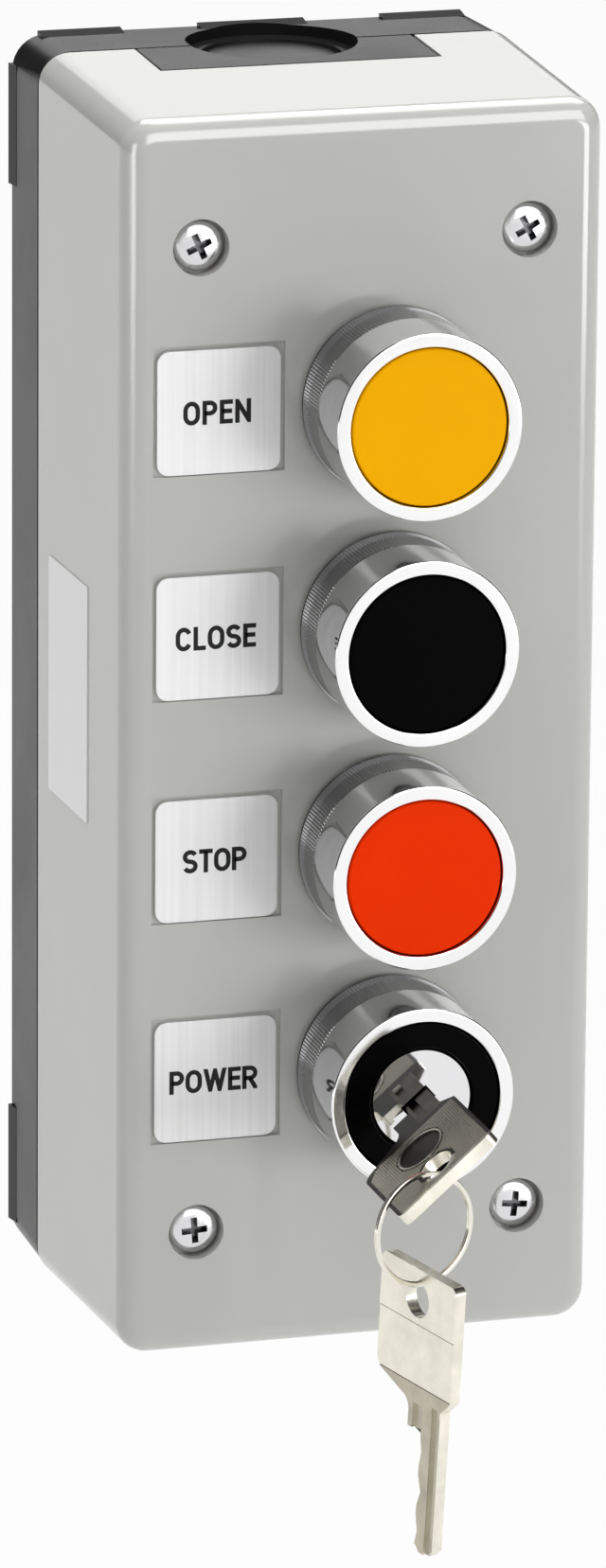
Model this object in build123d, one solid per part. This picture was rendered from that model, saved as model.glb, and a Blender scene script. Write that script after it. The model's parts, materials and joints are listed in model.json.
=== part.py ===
from build123d import *
import math
import os

# Four-station surface-mount control station: three flush push buttons and one key switch.
# Frame: X to the right, Z up, +Y into the wall. The back of the base lies on y = 0 and the
# origin is the centre of the four wall holes. All sizes are in millimetres.

os.makedirs("parts", exist_ok=True)

# ---------------------------------------------------------------- enclosure
seam_width = 78.9            # outline where base and cover meet
seam_height = 202.0
seam_corner = 5.5
base_draft_side = 0.2        # each shell narrows this much from the seam to its far end
base_draft_end = 0.4
cover_draft_side = 0.8
cover_draft_end = 1.5
cover_front_corner = 4.4
cover_front_fillet = 3.6
base_depth = 16.3
seal_gap = 0.7               # thickness of the gasket between the rims
cover_depth = 48.0
wall = 2.7                   # side walls of both shells
panel = 3.0                  # front wall of the cover
floor = 3.0                  # back wall of the base
gasket_inset = 0.45
gasket_width = 1.7

wall_hole_spacing_x = 58.0
wall_hole_spacing_z = 176.0
wall_hole_d = 4.6

pad_height = 0.6             # pads on the back edges of the base
pad_root = 0.3               # part of a pad inside the base's wall
pad_depth = 3.0
top_pads = ((-28.3, 13.6), (0.0, 17.6), (28.3, 13.6))
side_pads = ((-86.5, 19.5), (86.5, 19.5))

tongue_x = -0.8              # part of the base that carries the conduit entry
tongue_width = 45.4
tongue_reach = 15.5          # how far it stands in front of the seam
notch_clearance = 0.35
conduit_d = 27.4
conduit_y = -15.0
conduit_depth = 2.0
conduit_boss_wall = 1.0
conduit_boss_depth = 5.5
knockout_d = 23.2            # the smaller of the two concentric knock-outs
knockout_step = 0.6
knockout_dome_d = 18.8

# ---------------------------------------------------------------- cover screws
screw_spacing_x = 53.0
screw_spacing_z = 159.0
screw_d = 4.0
screw_clearance = 0.2
screw_head_d = 7.9
screw_head_height = 2.6
screw_head_round = 0.9
screw_sink = 0.9             # head below the cover's face
counterbore_d = 9.0
screw_angles = (24.0, 28.0, 4.0, -6.0)
cross_width = 1.15
cross_length = 4.6
cross_depth = 1.5
cover_boss_d = 12.0
base_boss_d = 11.0
insert_d = 6.0
insert_length = 9.0
insert_clearance = 0.05
insert_spare = 1.0           # room below the screw's tip

# ---------------------------------------------------------------- stations
station_names = ("open", "close", "stop", "power")
button_names = station_names[:3]
closing_contacts = ("open", "close")
station_pitch = 36.0
station_top = 53.8           # centre height of the first station
operator_x = 4.5
legend_from_side = 16.0      # legend centres from the box's side
legend_width = 19.9
legend_height = 19.8
legend_corner = 2.0
legend_thickness = 0.7
legend_recess_width = 21.2
legend_recess_height = 20.7
legend_recess_depth = 0.9
legend_drop = 0.35           # plates sit low in their recesses

label_height = 38.4
label_depth = 21.6
label_thickness = 0.2
label_y = -34.5
label_z = 2.3

# ---------------------------------------------------------------- operators
neck_d = 22.0
panel_hole_d = 22.5
neck_bore_d = 19.2
neck_top = 10.9              # heights over the cover's face
thread_clearance = 0.05
guide_floor_top = -1.0
guide_floor_bottom = -4.0
guide_d = 8.4
running_clearance = 0.05     # radial, for every shaft in its bore
bush_flange_d = 28.0
bush_bottom = -10.6
cam_room_d = 17.6
seal_d = 28.4
seal_thickness = 0.5
ring_nut_d = 29.4
ring_nut_top = 8.7
ring_nut_foot = 0.9
ring_nut_foot_d = 29.8
ring_nut_chamfer = 0.5
bezel_bottom = 8.9
bezel_top = 20.0
bezel_d = 29.7
bezel_rim_d = 25.3
bezel_edge = 0.35
bezel_shoulder = 11.2
cap_clearance = 0.2
cap_sink = 0.3
cap_thickness = 4.3
cap_edge = 0.45
button_travel = 3.8
spring_seat_d = 17.0
spring_seat_thickness = 2.0
return_spring_d = 12.6
return_wire_d = 0.9
return_turns = 5.5

# ---------------------------------------------------------------- contact blocks
block_width = 28.0
block_height = 21.0
block_depth = 26.0
block_floor = 2.0
carrier_side = 10.0
carrier_clearance = 0.2
carrier_top = -13.7
carrier_length = 13.0
bridge_length = 21.0
bridge_width = 5.0
bridge_thickness = 0.8
bridge_drop = 8.7            # bridge below the top of its carrier
bridge_room_width = 6.4
bridge_room_length = 23.0
bridge_room_over = 1.1       # room beyond the contact strips, to the front and to the back
bridge_room_under = 0.9
contact_gap = 0.1            # left open so that touching contacts never overlap
strip_inner = 6.6
strip_outer = 19.5
strip_width = 5.0
strip_thickness = 0.8
terminal_x = 16.9
terminal_head_d = 4.8
terminal_head_height = 1.8
terminal_shank_d = 3.0
terminal_shank_length = 4.0
terminal_slot_width = 0.8
terminal_slot_depth = 0.6
contact_spring_d = 6.4
contact_wire_d = 0.6
contact_turns = 5.0

# ---------------------------------------------------------------- key switch
lock_bore_d = 16.8
lock_wall = 1.05
dial_top = 19.6
dial_bottom = 16.2
barrel_top = 19.2
barrel_bottom = -0.8
tail_d = 6.0
tail_bottom = -9.3
clip_top = -4.1
clip_thickness = 0.7
clip_d = 11.6
clip_groove_d = 5.2
clip_mouth = 4.2
cam_top = -5.2
cam_plate = 1.0
cam_d = 13.6
cam_bore_clearance = 0.05
cam_throw = 90.0             # degrees turned between the two switch positions
cam_high_land = 25.0
cam_step = 10.0              # degrees between the sections of its ramp
cam_ramp_gap = 0.3           # ramp to the barrel's tail
cam_ramp_start = 0.02
follower_pin_d = 2.6
follower_radius = 5.0
follower_gap = 0.5
follower_arm = 1.2
wafer_count = 5
wafer_pitch = 2.5
wafer_thickness = 0.9
wafer_first = 5.6            # height of the deepest wafer
wafer_width = 7.3
wafer_clearance = 0.05
wafer_overall = 15.6

# ---------------------------------------------------------------- keys
key_rest_angle = 41.0        # blade side of the bow, counter-clockwise from +X
key_thickness = 2.06
bow_width = 19.3
bow_length = 20.0
bow_beyond_axis = 3.85       # blade side of the bow from the lock's axis
bow_blade_margin = 2.2       # bow edge beyond the blade
bow_corner = 1.2
heel_rise = 1.2              # the bow's far corner stands above the shoulder
heel_drop = 1.95             # and its lower edge slopes down to the stub
heel_corner = 2.0
heel_throat = 2.2
shoulder_slope = 1.4         # sloped shoulder between bow and blade
blade_width = 4.7
blade_length = 26.0
blade_thickness = 1.9
blade_tip_chamfer = 1.3
groove_width = 1.5
groove_depth = 0.7
groove_offset = 0.95
groove_start = 1.2
cut_depths = (0.45, 0.85, 0.55)
cut_half_width = 2.5
cut_pitch = 6.6
cut_start = 9.4
stub_width = 3.4
stub_length = 6.2
stub_hollow = 0.6
stub_margin = 1.1
key_hole_d = 5.9
key_hole_from_end = 5.0
medallion_d = 8.6
medallion_from_end = 13.4
medallion_depth = 0.15
medallion_border = 1.5
code_panel_start = 9.2
code_panel_end = 19.0
code_panel_depth = 0.12
key_stand = 28.2             # bow shoulder over the cover's face
keyway_clearance = 0.15
keyway_extra = 0.6

# ---------------------------------------------------------------- key ring
ring_outer_d = 18.5
ring_wire_radial = 0.8
ring_wire_axial = 0.9
ring_wire_round = 0.3
ring_turn = 19.0             # plane of the ring, degrees about Z from the XZ plane
ring_entry_angle = 77.0      # where on the ring the inserted key hangs
ring_entry_side = 1.0        # wire off the centre of the key's hole, away from the blade
ring_entry_in = 0.2          # and towards the lock
ring_hang_gap = 0.12         # wire to the top of the spare key's hole
spare_lean = -4.5            # degrees from upright, blade side of the bow low

# ---------------------------------------------------------------- worked-out values
past = 1.0                   # how far a cut runs past the face that it opens
legend_x = legend_from_side - seam_width / 2
base_back_width = seam_width - 2 * base_draft_side
base_back_height = seam_height - 2 * base_draft_end
cover_front_width = seam_width - 2 * cover_draft_side
cover_front_height = seam_height - 2 * cover_draft_end
face_y = -(base_depth + seal_gap + cover_depth)
seam_y = -base_depth
cover_back_y = -(base_depth + seal_gap)
station_z = {}
for index, name in enumerate(station_names):
    station_z[name] = station_top - index * station_pitch
carrier_bottom = carrier_top - carrier_length
block_top = bush_bottom
block_bottom = block_top - block_depth
bridge_top = carrier_top - bridge_drop
bridge_bottom = bridge_top - bridge_thickness
cap_top = bezel_top - cap_sink
cap_bottom = cap_top - cap_thickness
spring_seat_bottom = cap_bottom - spring_seat_thickness
cap_r = bezel_rim_d / 2 - cap_clearance
shaft_r = guide_d / 2 - running_clearance
barrel_r = lock_bore_d / 2 - running_clearance
bow_left = bow_beyond_axis - bow_width
bow_centre = bow_beyond_axis - bow_width / 2
blade_right = bow_beyond_axis - bow_blade_margin
blade_left = blade_right - blade_width
blade_centre = (blade_left + blade_right) / 2
stub_left = blade_left - stub_width
lock_z = station_z["power"]
clip_bottom = clip_top - clip_thickness


# ---------------------------------------------------------------- helpers
def height(over_face):
    """The y of a plane that lies this far in front of the cover's face."""
    return face_y - over_face


def rod(x, z, diameter, front, back):
    """A cylinder along Y between two y values."""
    length = abs(back - front)
    return Pos(x, (front + back) / 2, z) * Rot(90, 0, 0) * Cylinder(diameter / 2, length)


def tube(x, z, outer, inner, front, back):
    """A tube along Y between two y values."""
    return rod(x, z, outer, front, back) - rod(x, z, inner, front, back)


def brick(x, y, z, size_x, size_y, size_z):
    """A box by its centre and its size."""
    return Pos(x, y, z) * Box(size_x, size_y, size_z)


def across(y):
    """A plane at y that faces the viewer, with X to the right and Z up."""
    return Plane.XZ.offset(-y)


def slab(width, tall, corner, front, back):
    """A plate with rounded corners between two y values."""
    outline = across(back) * RectangleRounded(width, tall, corner)
    return extrude(outline, back - front)


def shell_body(back_y, back_size, back_corner, front_y, front_size, front_corner):
    """A drafted body between two rounded outlines."""
    back_outline = across(back_y) * RectangleRounded(*back_size, back_corner)
    front_outline = across(front_y) * RectangleRounded(*front_size, front_corner)
    return loft([back_outline, front_outline])


def corner_points(spacing_x, spacing_z):
    """The four corners of a rectangle of holes, top row first."""
    points = []
    for side_z in (1, -1):
        for side_x in (-1, 1):
            points.append((side_x * spacing_x / 2, side_z * spacing_z / 2))
    return points


def save(name, solids):
    """Write one node."""
    if isinstance(solids, (list, tuple)):
        solids = Compound(children=list(solids))
    export_step(solids, "parts/" + name + ".step")


# ---------------------------------------------------------------- enclosure pieces
def top_of_cover(y):
    """Height of the cover's top wall at y."""
    share = (cover_back_y - y) / cover_depth
    return (seam_height - share * (seam_height - cover_front_height)) / 2


def tongue(clearance, spare):
    """The entry tongue, or with a clearance and spare height the cut that makes its notch."""
    front = seam_y - tongue_reach - clearance
    half = tongue_width / 2 + clearance
    outline = Polyline(
        (seam_y + wall, seam_height / 2 - wall - spare),
        (seam_y + wall, seam_height / 2 + spare),
        (cover_back_y, seam_height / 2 + spare),
        (front, top_of_cover(front) + spare),
        (front, top_of_cover(front) - wall - spare),
        (seam_y, seam_height / 2 - wall - spare),
        close=True,
    )
    side = Plane(origin=(tongue_x - half, 0, 0), x_dir=(0, 1, 0), z_dir=(1, 0, 0))
    return extrude(side * make_face(outline), 2 * half)


def conduit_cut():
    """The entry recess, stepped at its two concentric knock-outs."""
    top = seam_height / 2 + past
    mouth = seam_height / 2 - conduit_depth
    ledge = mouth - knockout_step
    cut = Pos(tongue_x, conduit_y, (top + mouth) / 2) * Cylinder(conduit_d / 2, top - mouth)
    cut += Pos(tongue_x, conduit_y, (mouth + ledge) / 2) * Cylinder(knockout_d / 2, mouth - ledge)
    cut -= Pos(tongue_x, conduit_y, (mouth + ledge) / 2) * Cone(
        knockout_dome_d / 2, knockout_dome_d / 4, mouth - ledge
    )
    return cut


def rear_base():
    back_size = (base_back_width, base_back_height)
    seam_size = (seam_width, seam_height)
    inner_width = base_back_width - 2 * wall
    inner_height = base_back_height - 2 * wall
    body = shell_body(0, back_size, seam_corner, seam_y, seam_size, seam_corner)
    body -= slab(inner_width, inner_height, seam_corner - wall, seam_y - past, -floor)
    for x, z in corner_points(screw_spacing_x, screw_spacing_z):
        body += rod(x, z, base_boss_d, seam_y, -floor)
        body -= rod(x, z, insert_d, seam_y - past, seam_y + insert_length)
    pad_thick = pad_height + pad_root
    pad_middle = (pad_height - pad_root) / 2
    for x, width in top_pads:
        for side in (1, -1):
            pad_z = side * (base_back_height / 2 + pad_middle)
            body += brick(x, -pad_depth / 2, pad_z, width, pad_depth, pad_thick)
    for z, tall in side_pads:
        for side in (1, -1):
            pad_x = side * (base_back_width / 2 + pad_middle)
            body += brick(pad_x, -pad_depth / 2, z, pad_thick, pad_depth, tall)
    body += tongue(0, 0)
    boss_d = conduit_d + 2 * conduit_boss_wall
    boss_z = seam_height / 2 - wall / 2 - conduit_boss_depth / 2
    body += Pos(tongue_x, conduit_y, boss_z) * Cylinder(boss_d / 2, conduit_boss_depth)
    body -= conduit_cut()
    for x, z in corner_points(wall_hole_spacing_x, wall_hole_spacing_z):
        body -= rod(x, z, wall_hole_d, -floor - past, past)
    return body


def front_cover():
    seam_size = (seam_width, seam_height)
    front_size = (cover_front_width, cover_front_height)
    body = shell_body(cover_back_y, seam_size, seam_corner, face_y, front_size, cover_front_corner)
    front_edges = body.faces().sort_by(Axis.Y)[0].edges()
    body = fillet(front_edges, cover_front_fillet)
    inner_back = (seam_width - 2 * wall, seam_height - 2 * wall)
    inner_front = (cover_front_width - 2 * wall, cover_front_height - 2 * wall)
    inner_corner = cover_front_corner - wall
    body -= shell_body(cover_back_y, inner_back, seam_corner - wall, face_y + panel, inner_front, inner_corner)
    body -= tongue(notch_clearance, wall)
    for x, z in corner_points(screw_spacing_x, screw_spacing_z):
        body += rod(x, z, cover_boss_d, face_y + panel, seam_y)
        body -= rod(x, z, counterbore_d, face_y - past, face_y + screw_sink + screw_head_height)
        body -= rod(x, z, screw_d + 2 * screw_clearance, face_y, seam_y + past)
    for name in station_names:
        z = station_z[name]
        body -= rod(operator_x, z, panel_hole_d, face_y - past, face_y + panel + past)
        recess_y = face_y + (legend_recess_depth - past) / 2
        recess_thick = legend_recess_depth + past
        body -= brick(legend_x, recess_y, z, legend_recess_width, recess_thick, legend_recess_height)
    return body


def cover_gasket():
    outer_w = seam_width - 2 * gasket_inset
    outer_h = seam_height - 2 * gasket_inset
    inner_w = outer_w - 2 * gasket_width
    inner_h = outer_h - 2 * gasket_width
    corner = seam_corner - gasket_inset
    ring = slab(outer_w, outer_h, corner, cover_back_y, seam_y)
    ring -= slab(inner_w, inner_h, corner - gasket_width, cover_back_y - past, seam_y + past)
    gap_width = tongue_width + 2 * notch_clearance
    gap_depth = 2 * (seal_gap + past)
    gap_height = 2 * (gasket_inset + gasket_width + past)
    return ring - brick(tongue_x, seam_y, seam_height / 2, gap_width, gap_depth, gap_height)


def cover_screws():
    screws = []
    head_front = face_y + screw_sink
    head_back = head_front + screw_head_height
    tip = seam_y + insert_length - insert_spare
    points = corner_points(screw_spacing_x, screw_spacing_z)
    for (x, z), angle in zip(points, screw_angles):
        screw = rod(x, z, screw_head_d, head_front, head_back)
        rim = screw.faces().sort_by(Axis.Y)[0].edges()
        screw = fillet(rim, screw_head_round)
        screw += rod(x, z, screw_d, head_back, tip)
        for turn in (0, 90):
            bar = Box(cross_length, 2 * cross_depth, cross_width)
            screw -= Pos(x, head_front, z) * Rot(0, angle + turn, 0) * bar
        screws.append(screw)
    return screws


def screw_inserts():
    inserts = []
    outer = insert_d - 2 * insert_clearance
    inner = screw_d + 2 * insert_clearance
    for x, z in corner_points(screw_spacing_x, screw_spacing_z):
        inserts.append(tube(x, z, outer, inner, seam_y, seam_y + insert_length))
    return inserts


def side_label():
    draft = math.degrees(math.atan((seam_width - cover_front_width) / 2 / cover_depth))
    share = (cover_back_y - label_y) / cover_depth
    wall_x = (seam_width - share * (seam_width - cover_front_width)) / 2
    plate = Box(label_thickness, label_depth, label_height)
    return Pos(-wall_x, label_y, label_z) * Rot(0, 0, draft) * Pos(-label_thickness / 2, 0, 0) * plate


def legend_plate(name):
    z = station_z[name] - legend_drop
    plate = slab(legend_width, legend_height, legend_corner, -legend_thickness, 0)
    return Pos(legend_x, face_y + legend_recess_depth, z) * plate


# ---------------------------------------------------------------- operator pieces
def operator_bush(z):
    """Bush behind the panel, with the threaded neck that stands through it."""
    bush = rod(operator_x, z, neck_d, height(neck_top), height(-panel))
    bush += rod(operator_x, z, bush_flange_d, height(-panel), height(bush_bottom))
    bush -= rod(operator_x, z, neck_bore_d, height(neck_top + past), height(guide_floor_top))
    bush -= rod(operator_x, z, guide_d, height(guide_floor_top), height(guide_floor_bottom))
    bush -= rod(operator_x, z, cam_room_d, height(guide_floor_bottom), height(bush_bottom - past))
    return bush


def panel_seal(z):
    return tube(operator_x, z, seal_d, panel_hole_d, height(seal_thickness), height(0))


def ring_nut(z):
    """Knurled nut that clamps the bush to the panel from the front."""
    body = rod(operator_x, z, ring_nut_d, height(ring_nut_top), height(seal_thickness))
    body = chamfer(body.faces().sort_by(Axis.Y)[0].edges(), ring_nut_chamfer)
    foot_top = seal_thickness + ring_nut_foot
    body += rod(operator_x, z, ring_nut_foot_d, height(foot_top), height(seal_thickness))
    bore = neck_d + 2 * thread_clearance
    return body - rod(operator_x, z, bore, height(ring_nut_top + past), height(0))


def bezel(z):
    """Chromed sleeve on the end of the neck, with the rim around the cap or the dial."""
    body = rod(operator_x, z, bezel_d, height(bezel_top), height(bezel_bottom))
    body = fillet(body.edges().filter_by(GeomType.CIRCLE), bezel_edge)
    body -= rod(operator_x, z, bezel_rim_d, height(bezel_top + past), height(bezel_shoulder))
    bore = neck_d + 2 * thread_clearance
    return body - rod(operator_x, z, bore, height(bezel_shoulder), height(bezel_bottom - past))


def button_cap(z):
    body = rod(operator_x, z, 2 * cap_r, height(cap_top), height(cap_bottom))
    return fillet(body.faces().sort_by(Axis.Y)[0].edges(), cap_edge)


def button_plunger(z):
    body = rod(operator_x, z, spring_seat_d, height(cap_bottom), height(spring_seat_bottom))
    return body + rod(operator_x, z, 2 * shaft_r, height(spring_seat_bottom), height(carrier_top))


def coil_spring(z, coil_d, wire_d, turns, front, back):
    """An open coil along Y that fills the room between two y values."""
    coil_length = back - front - wire_d
    path = Helix(coil_length / turns, coil_length, (coil_d - wire_d) / 2)
    section = Plane(origin=path @ 0, z_dir=path % 0) * Circle(wire_d / 2)
    coil = sweep(section, path=path)
    return Pos(operator_x, back - wire_d / 2, z) * Rot(90, 0, 0) * coil


def return_spring(z):
    front = height(spring_seat_bottom)
    back = height(guide_floor_top)
    return coil_spring(z, return_spring_d + return_wire_d, return_wire_d, return_turns, front, back)


def contact_spring(z):
    front = height(carrier_bottom)
    back = height(block_bottom + block_floor)
    return coil_spring(z, contact_spring_d, contact_wire_d, contact_turns, front, back)


def strip_front(name):
    """Height of the fixed contact strips: under the bridge to close, over it to open."""
    if name in closing_contacts:
        return bridge_bottom - button_travel - contact_gap
    return bridge_top + contact_gap + strip_thickness


def contact_strips(name):
    strips = []
    front = height(strip_front(name))
    for side in (-1, 1):
        x = operator_x + side * (strip_inner + strip_outer) / 2
        length = strip_outer - strip_inner
        y = front + strip_thickness / 2
        strip = brick(x, y, station_z[name], length, strip_thickness, strip_width)
        screw_x = operator_x + side * terminal_x
        hole = terminal_shank_d + 2 * running_clearance
        back = front + strip_thickness
        strips.append(strip - rod(screw_x, station_z[name], hole, front - past, back + past))
    return strips


def terminal_screws(name):
    screws = []
    front = height(strip_front(name))
    for side in (-1, 1):
        x = operator_x + side * terminal_x
        screw = rod(x, station_z[name], terminal_head_d, front - terminal_head_height, front)
        screw += rod(x, station_z[name], terminal_shank_d, front, front + terminal_shank_length)
        slot = Box(terminal_head_d, 2 * terminal_slot_depth, terminal_slot_width)
        screws.append(screw - Pos(x, front - terminal_head_height, station_z[name]) * slot)
    return screws


def contact_block(name):
    z = station_z[name]
    middle = (height(block_top) + height(block_bottom)) / 2
    body = brick(operator_x, middle, z, block_width, block_depth, block_height)
    well = carrier_side + 2 * carrier_clearance
    well_depth = block_depth - block_floor
    well_y = height(block_top) + well_depth / 2
    body -= brick(operator_x, well_y, z, well, well_depth, well)
    arm_reach = follower_radius + follower_pin_d / 2 + carrier_clearance
    arm_depth = -carrier_top + block_top + button_travel + carrier_clearance
    arm_y = height(block_top) + arm_depth / 2
    arm_width = follower_pin_d + 2 * carrier_clearance
    body -= brick(operator_x, arm_y, z, 2 * arm_reach, arm_depth, arm_width)
    strip_room = contact_gap + strip_thickness
    room_front = height(bridge_top + strip_room + bridge_room_over)
    room_back = height(bridge_bottom - button_travel - strip_room - bridge_room_under)
    room_y = (room_front + room_back) / 2
    room_depth = room_back - room_front
    body -= brick(operator_x, room_y, z, bridge_room_length, room_depth, bridge_room_width)
    strip_y = height(strip_front(name)) + strip_thickness / 2
    slot_length = block_width + 2 * past
    return body - brick(operator_x, strip_y, z, slot_length, strip_thickness, strip_width)


def contact_carrier(z):
    middle = (height(carrier_top) + height(carrier_bottom)) / 2
    body = brick(operator_x, middle, z, carrier_side, carrier_length, carrier_side)
    return body - contact_bridge(z)


def contact_bridge(z):
    middle = (height(bridge_top) + height(bridge_bottom)) / 2
    return brick(operator_x, middle, z, bridge_length, bridge_thickness, bridge_width)


# ---------------------------------------------------------------- key switch pieces
def key_plane(angle, over_face):
    """A plane across the lock whose x axis lies along the blade's width."""
    turn = math.radians(angle)
    return Plane(
        origin=(operator_x, height(over_face), lock_z),
        x_dir=(math.cos(turn), 0, math.sin(turn)),
        z_dir=(math.sin(turn), 0, -math.cos(turn)),
    )


def lock_housing():
    tube_d = lock_bore_d + 2 * lock_wall
    body = rod(operator_x, lock_z, 2 * cap_r, height(dial_top), height(dial_bottom))
    body = fillet(body.faces().sort_by(Axis.Y)[0].edges(), bezel_edge)
    body += rod(operator_x, lock_z, tube_d, height(dial_bottom), height(barrel_bottom))
    top = height(dial_top + past)
    bottom = height(barrel_bottom - past)
    return body - rod(operator_x, lock_z, lock_bore_d, top, bottom)


def keyway(angle):
    slot_bottom = key_stand - blade_length - keyway_extra
    depth = barrel_top + past - slot_bottom
    slot = Box(blade_width + 2 * keyway_clearance, depth, blade_thickness + 2 * keyway_clearance)
    middle = (barrel_top + past + slot_bottom) / 2
    return key_plane(angle, middle).location * Pos(blade_centre, 0, 0) * slot


def wafer_plane(index):
    return key_plane(key_rest_angle, wafer_first + index * wafer_pitch)


def lock_barrel():
    body = rod(operator_x, lock_z, 2 * barrel_r, height(barrel_top), height(barrel_bottom))
    body += rod(operator_x, lock_z, 2 * shaft_r, height(barrel_bottom), height(guide_floor_bottom))
    body += rod(operator_x, lock_z, tail_d, height(guide_floor_bottom), height(tail_bottom))
    body -= tube(
        operator_x, lock_z, tail_d + past, clip_groove_d, height(clip_top), height(clip_bottom)
    )
    body -= keyway(key_rest_angle)
    for index in range(wafer_count):
        slot_thick = wafer_thickness + 2 * wafer_clearance
        slot_width = wafer_width + 2 * wafer_clearance
        slot = Box(2 * (barrel_r + past), slot_thick, slot_width)
        body -= wafer_plane(index).location * slot
    return body


def lock_wafers():
    wafers = []
    window_width = blade_width + 2 * keyway_clearance
    window_height = blade_thickness + 2 * keyway_clearance
    for index in range(wafer_count):
        plate = Box(wafer_overall, wafer_thickness, wafer_width)
        window = Box(window_width, wafer_thickness + past, window_height)
        plate -= Pos(blade_centre, 0, 0) * window
        plate = wafer_plane(index).location * plate
        y = height(wafer_first + index * wafer_pitch)
        inside = rod(operator_x, lock_z, wafer_overall, y - wafer_thickness, y + wafer_thickness)
        wafers.append(plate & inside)
    return wafers


def barrel_clip():
    inner = clip_groove_d + 2 * running_clearance
    clip = tube(operator_x, lock_z, clip_d, inner, height(clip_top), height(clip_bottom))
    mouth = Box(clip_d, 2 * (clip_thickness + past), clip_mouth)
    return clip - Pos(operator_x + clip_d / 2, height(clip_top), lock_z) * mouth


def ramp_section(angle, drop):
    """Cut through the cam at one angle, from its plate down to the ramp."""
    inner = tail_d / 2 + cam_ramp_gap
    outer = cam_d / 2
    top = height(cam_top - cam_plate / 2)
    bottom = height(cam_top - cam_plate - drop)
    turn = math.radians(angle)
    plane = Plane(
        origin=(operator_x, 0, lock_z),
        x_dir=(math.cos(turn), 0, math.sin(turn)),
        z_dir=(math.sin(turn), 0, -math.cos(turn)),
    )
    corners = Polyline((inner, -top), (outer, -top), (outer, -bottom), (inner, -bottom), close=True)
    return plane * make_face(corners)


def switch_cam():
    bore = tail_d + 2 * cam_bore_clearance
    plate_bottom = height(cam_top - cam_plate)
    body = rod(operator_x, lock_z, cam_d, height(cam_top), plate_bottom)
    ramp = []
    count = int(cam_throw / cam_step)
    for index in range(count + 1):
        share = index / count
        ramp.append(ramp_section(-share * cam_throw, cam_ramp_start + share * button_travel))
    ramp.append(ramp_section(-cam_throw - cam_high_land, cam_ramp_start + button_travel))
    for first, second in zip(ramp, ramp[1:]):
        body += loft([first, second], ruled=True)
    low = height(cam_top - cam_plate - cam_ramp_start - button_travel - past)
    return body - rod(operator_x, lock_z, bore, height(cam_top + past), low)


def cam_follower():
    """Contact carrier of the key switch, with the round-ended pin that rides on the cam."""
    pin_x = operator_x + follower_radius
    tip = cam_top - cam_plate - follower_gap
    ball_centre = tip - follower_pin_d / 2
    shoulder = carrier_top + follower_arm
    body = contact_carrier(lock_z)
    body += rod(pin_x, lock_z, follower_pin_d, height(ball_centre), height(shoulder))
    body += Pos(pin_x, height(ball_centre), lock_z) * Sphere(follower_pin_d / 2)
    foot_x = operator_x + (follower_radius + follower_pin_d / 2 - carrier_side / 2) / 2
    foot_width = follower_radius + follower_pin_d / 2 + carrier_side / 2
    foot_y = (height(shoulder) + height(carrier_top)) / 2
    return body + brick(foot_x, foot_y, lock_z, foot_width, follower_arm, follower_pin_d)


# ---------------------------------------------------------------- keys
# A key is drawn with the lock's axis on its y axis: x to the blade's side of the bow, y to the
# end of the bow, z out of the face that carries the code panel. The shoulder lies on y = 0.
def key_outline():
    """Bow and stub, with the sloped heel between them and the sloped shoulder at the blade."""
    outline = Polyline(
        (bow_left, bow_length),
        (bow_beyond_axis, bow_length),
        (bow_beyond_axis, shoulder_slope / 2),
        (blade_right, -shoulder_slope),
        (blade_right, -shoulder_slope - past),
        (blade_left, -shoulder_slope - past),
        (blade_left, -stub_length),
        (stub_left, -stub_length),
        (stub_left, -heel_drop),
        (bow_left, heel_rise),
        close=True,
    )
    face = make_face(outline)
    for corner, radius in (
        ((bow_left, bow_length), bow_corner),
        ((bow_beyond_axis, bow_length), bow_corner),
        ((bow_left, heel_rise), heel_corner),
        ((stub_left, -heel_drop), heel_throat),
    ):
        near = face.vertices().sort_by_distance(corner)[0]
        face = fillet(near, radius)
    return face


def key_blade():
    blade = Box(blade_width, blade_length, blade_thickness)
    blade = Pos(blade_centre, -blade_length / 2, 0) * blade
    tip_edges = blade.edges().filter_by(Axis.Z).sort_by(Axis.Y)[:2]
    blade = chamfer(tip_edges, blade_tip_chamfer)
    for index, depth in enumerate(cut_depths):
        y = -(cut_start + index * cut_pitch)
        notch = Polyline(
            (blade_left - past, y - cut_half_width),
            (blade_left, y - cut_half_width),
            (blade_left + depth, y),
            (blade_left, y + cut_half_width),
            (blade_left - past, y + cut_half_width),
            close=True,
        )
        blade -= extrude(make_face(notch), blade_thickness, both=True)
    return blade


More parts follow.
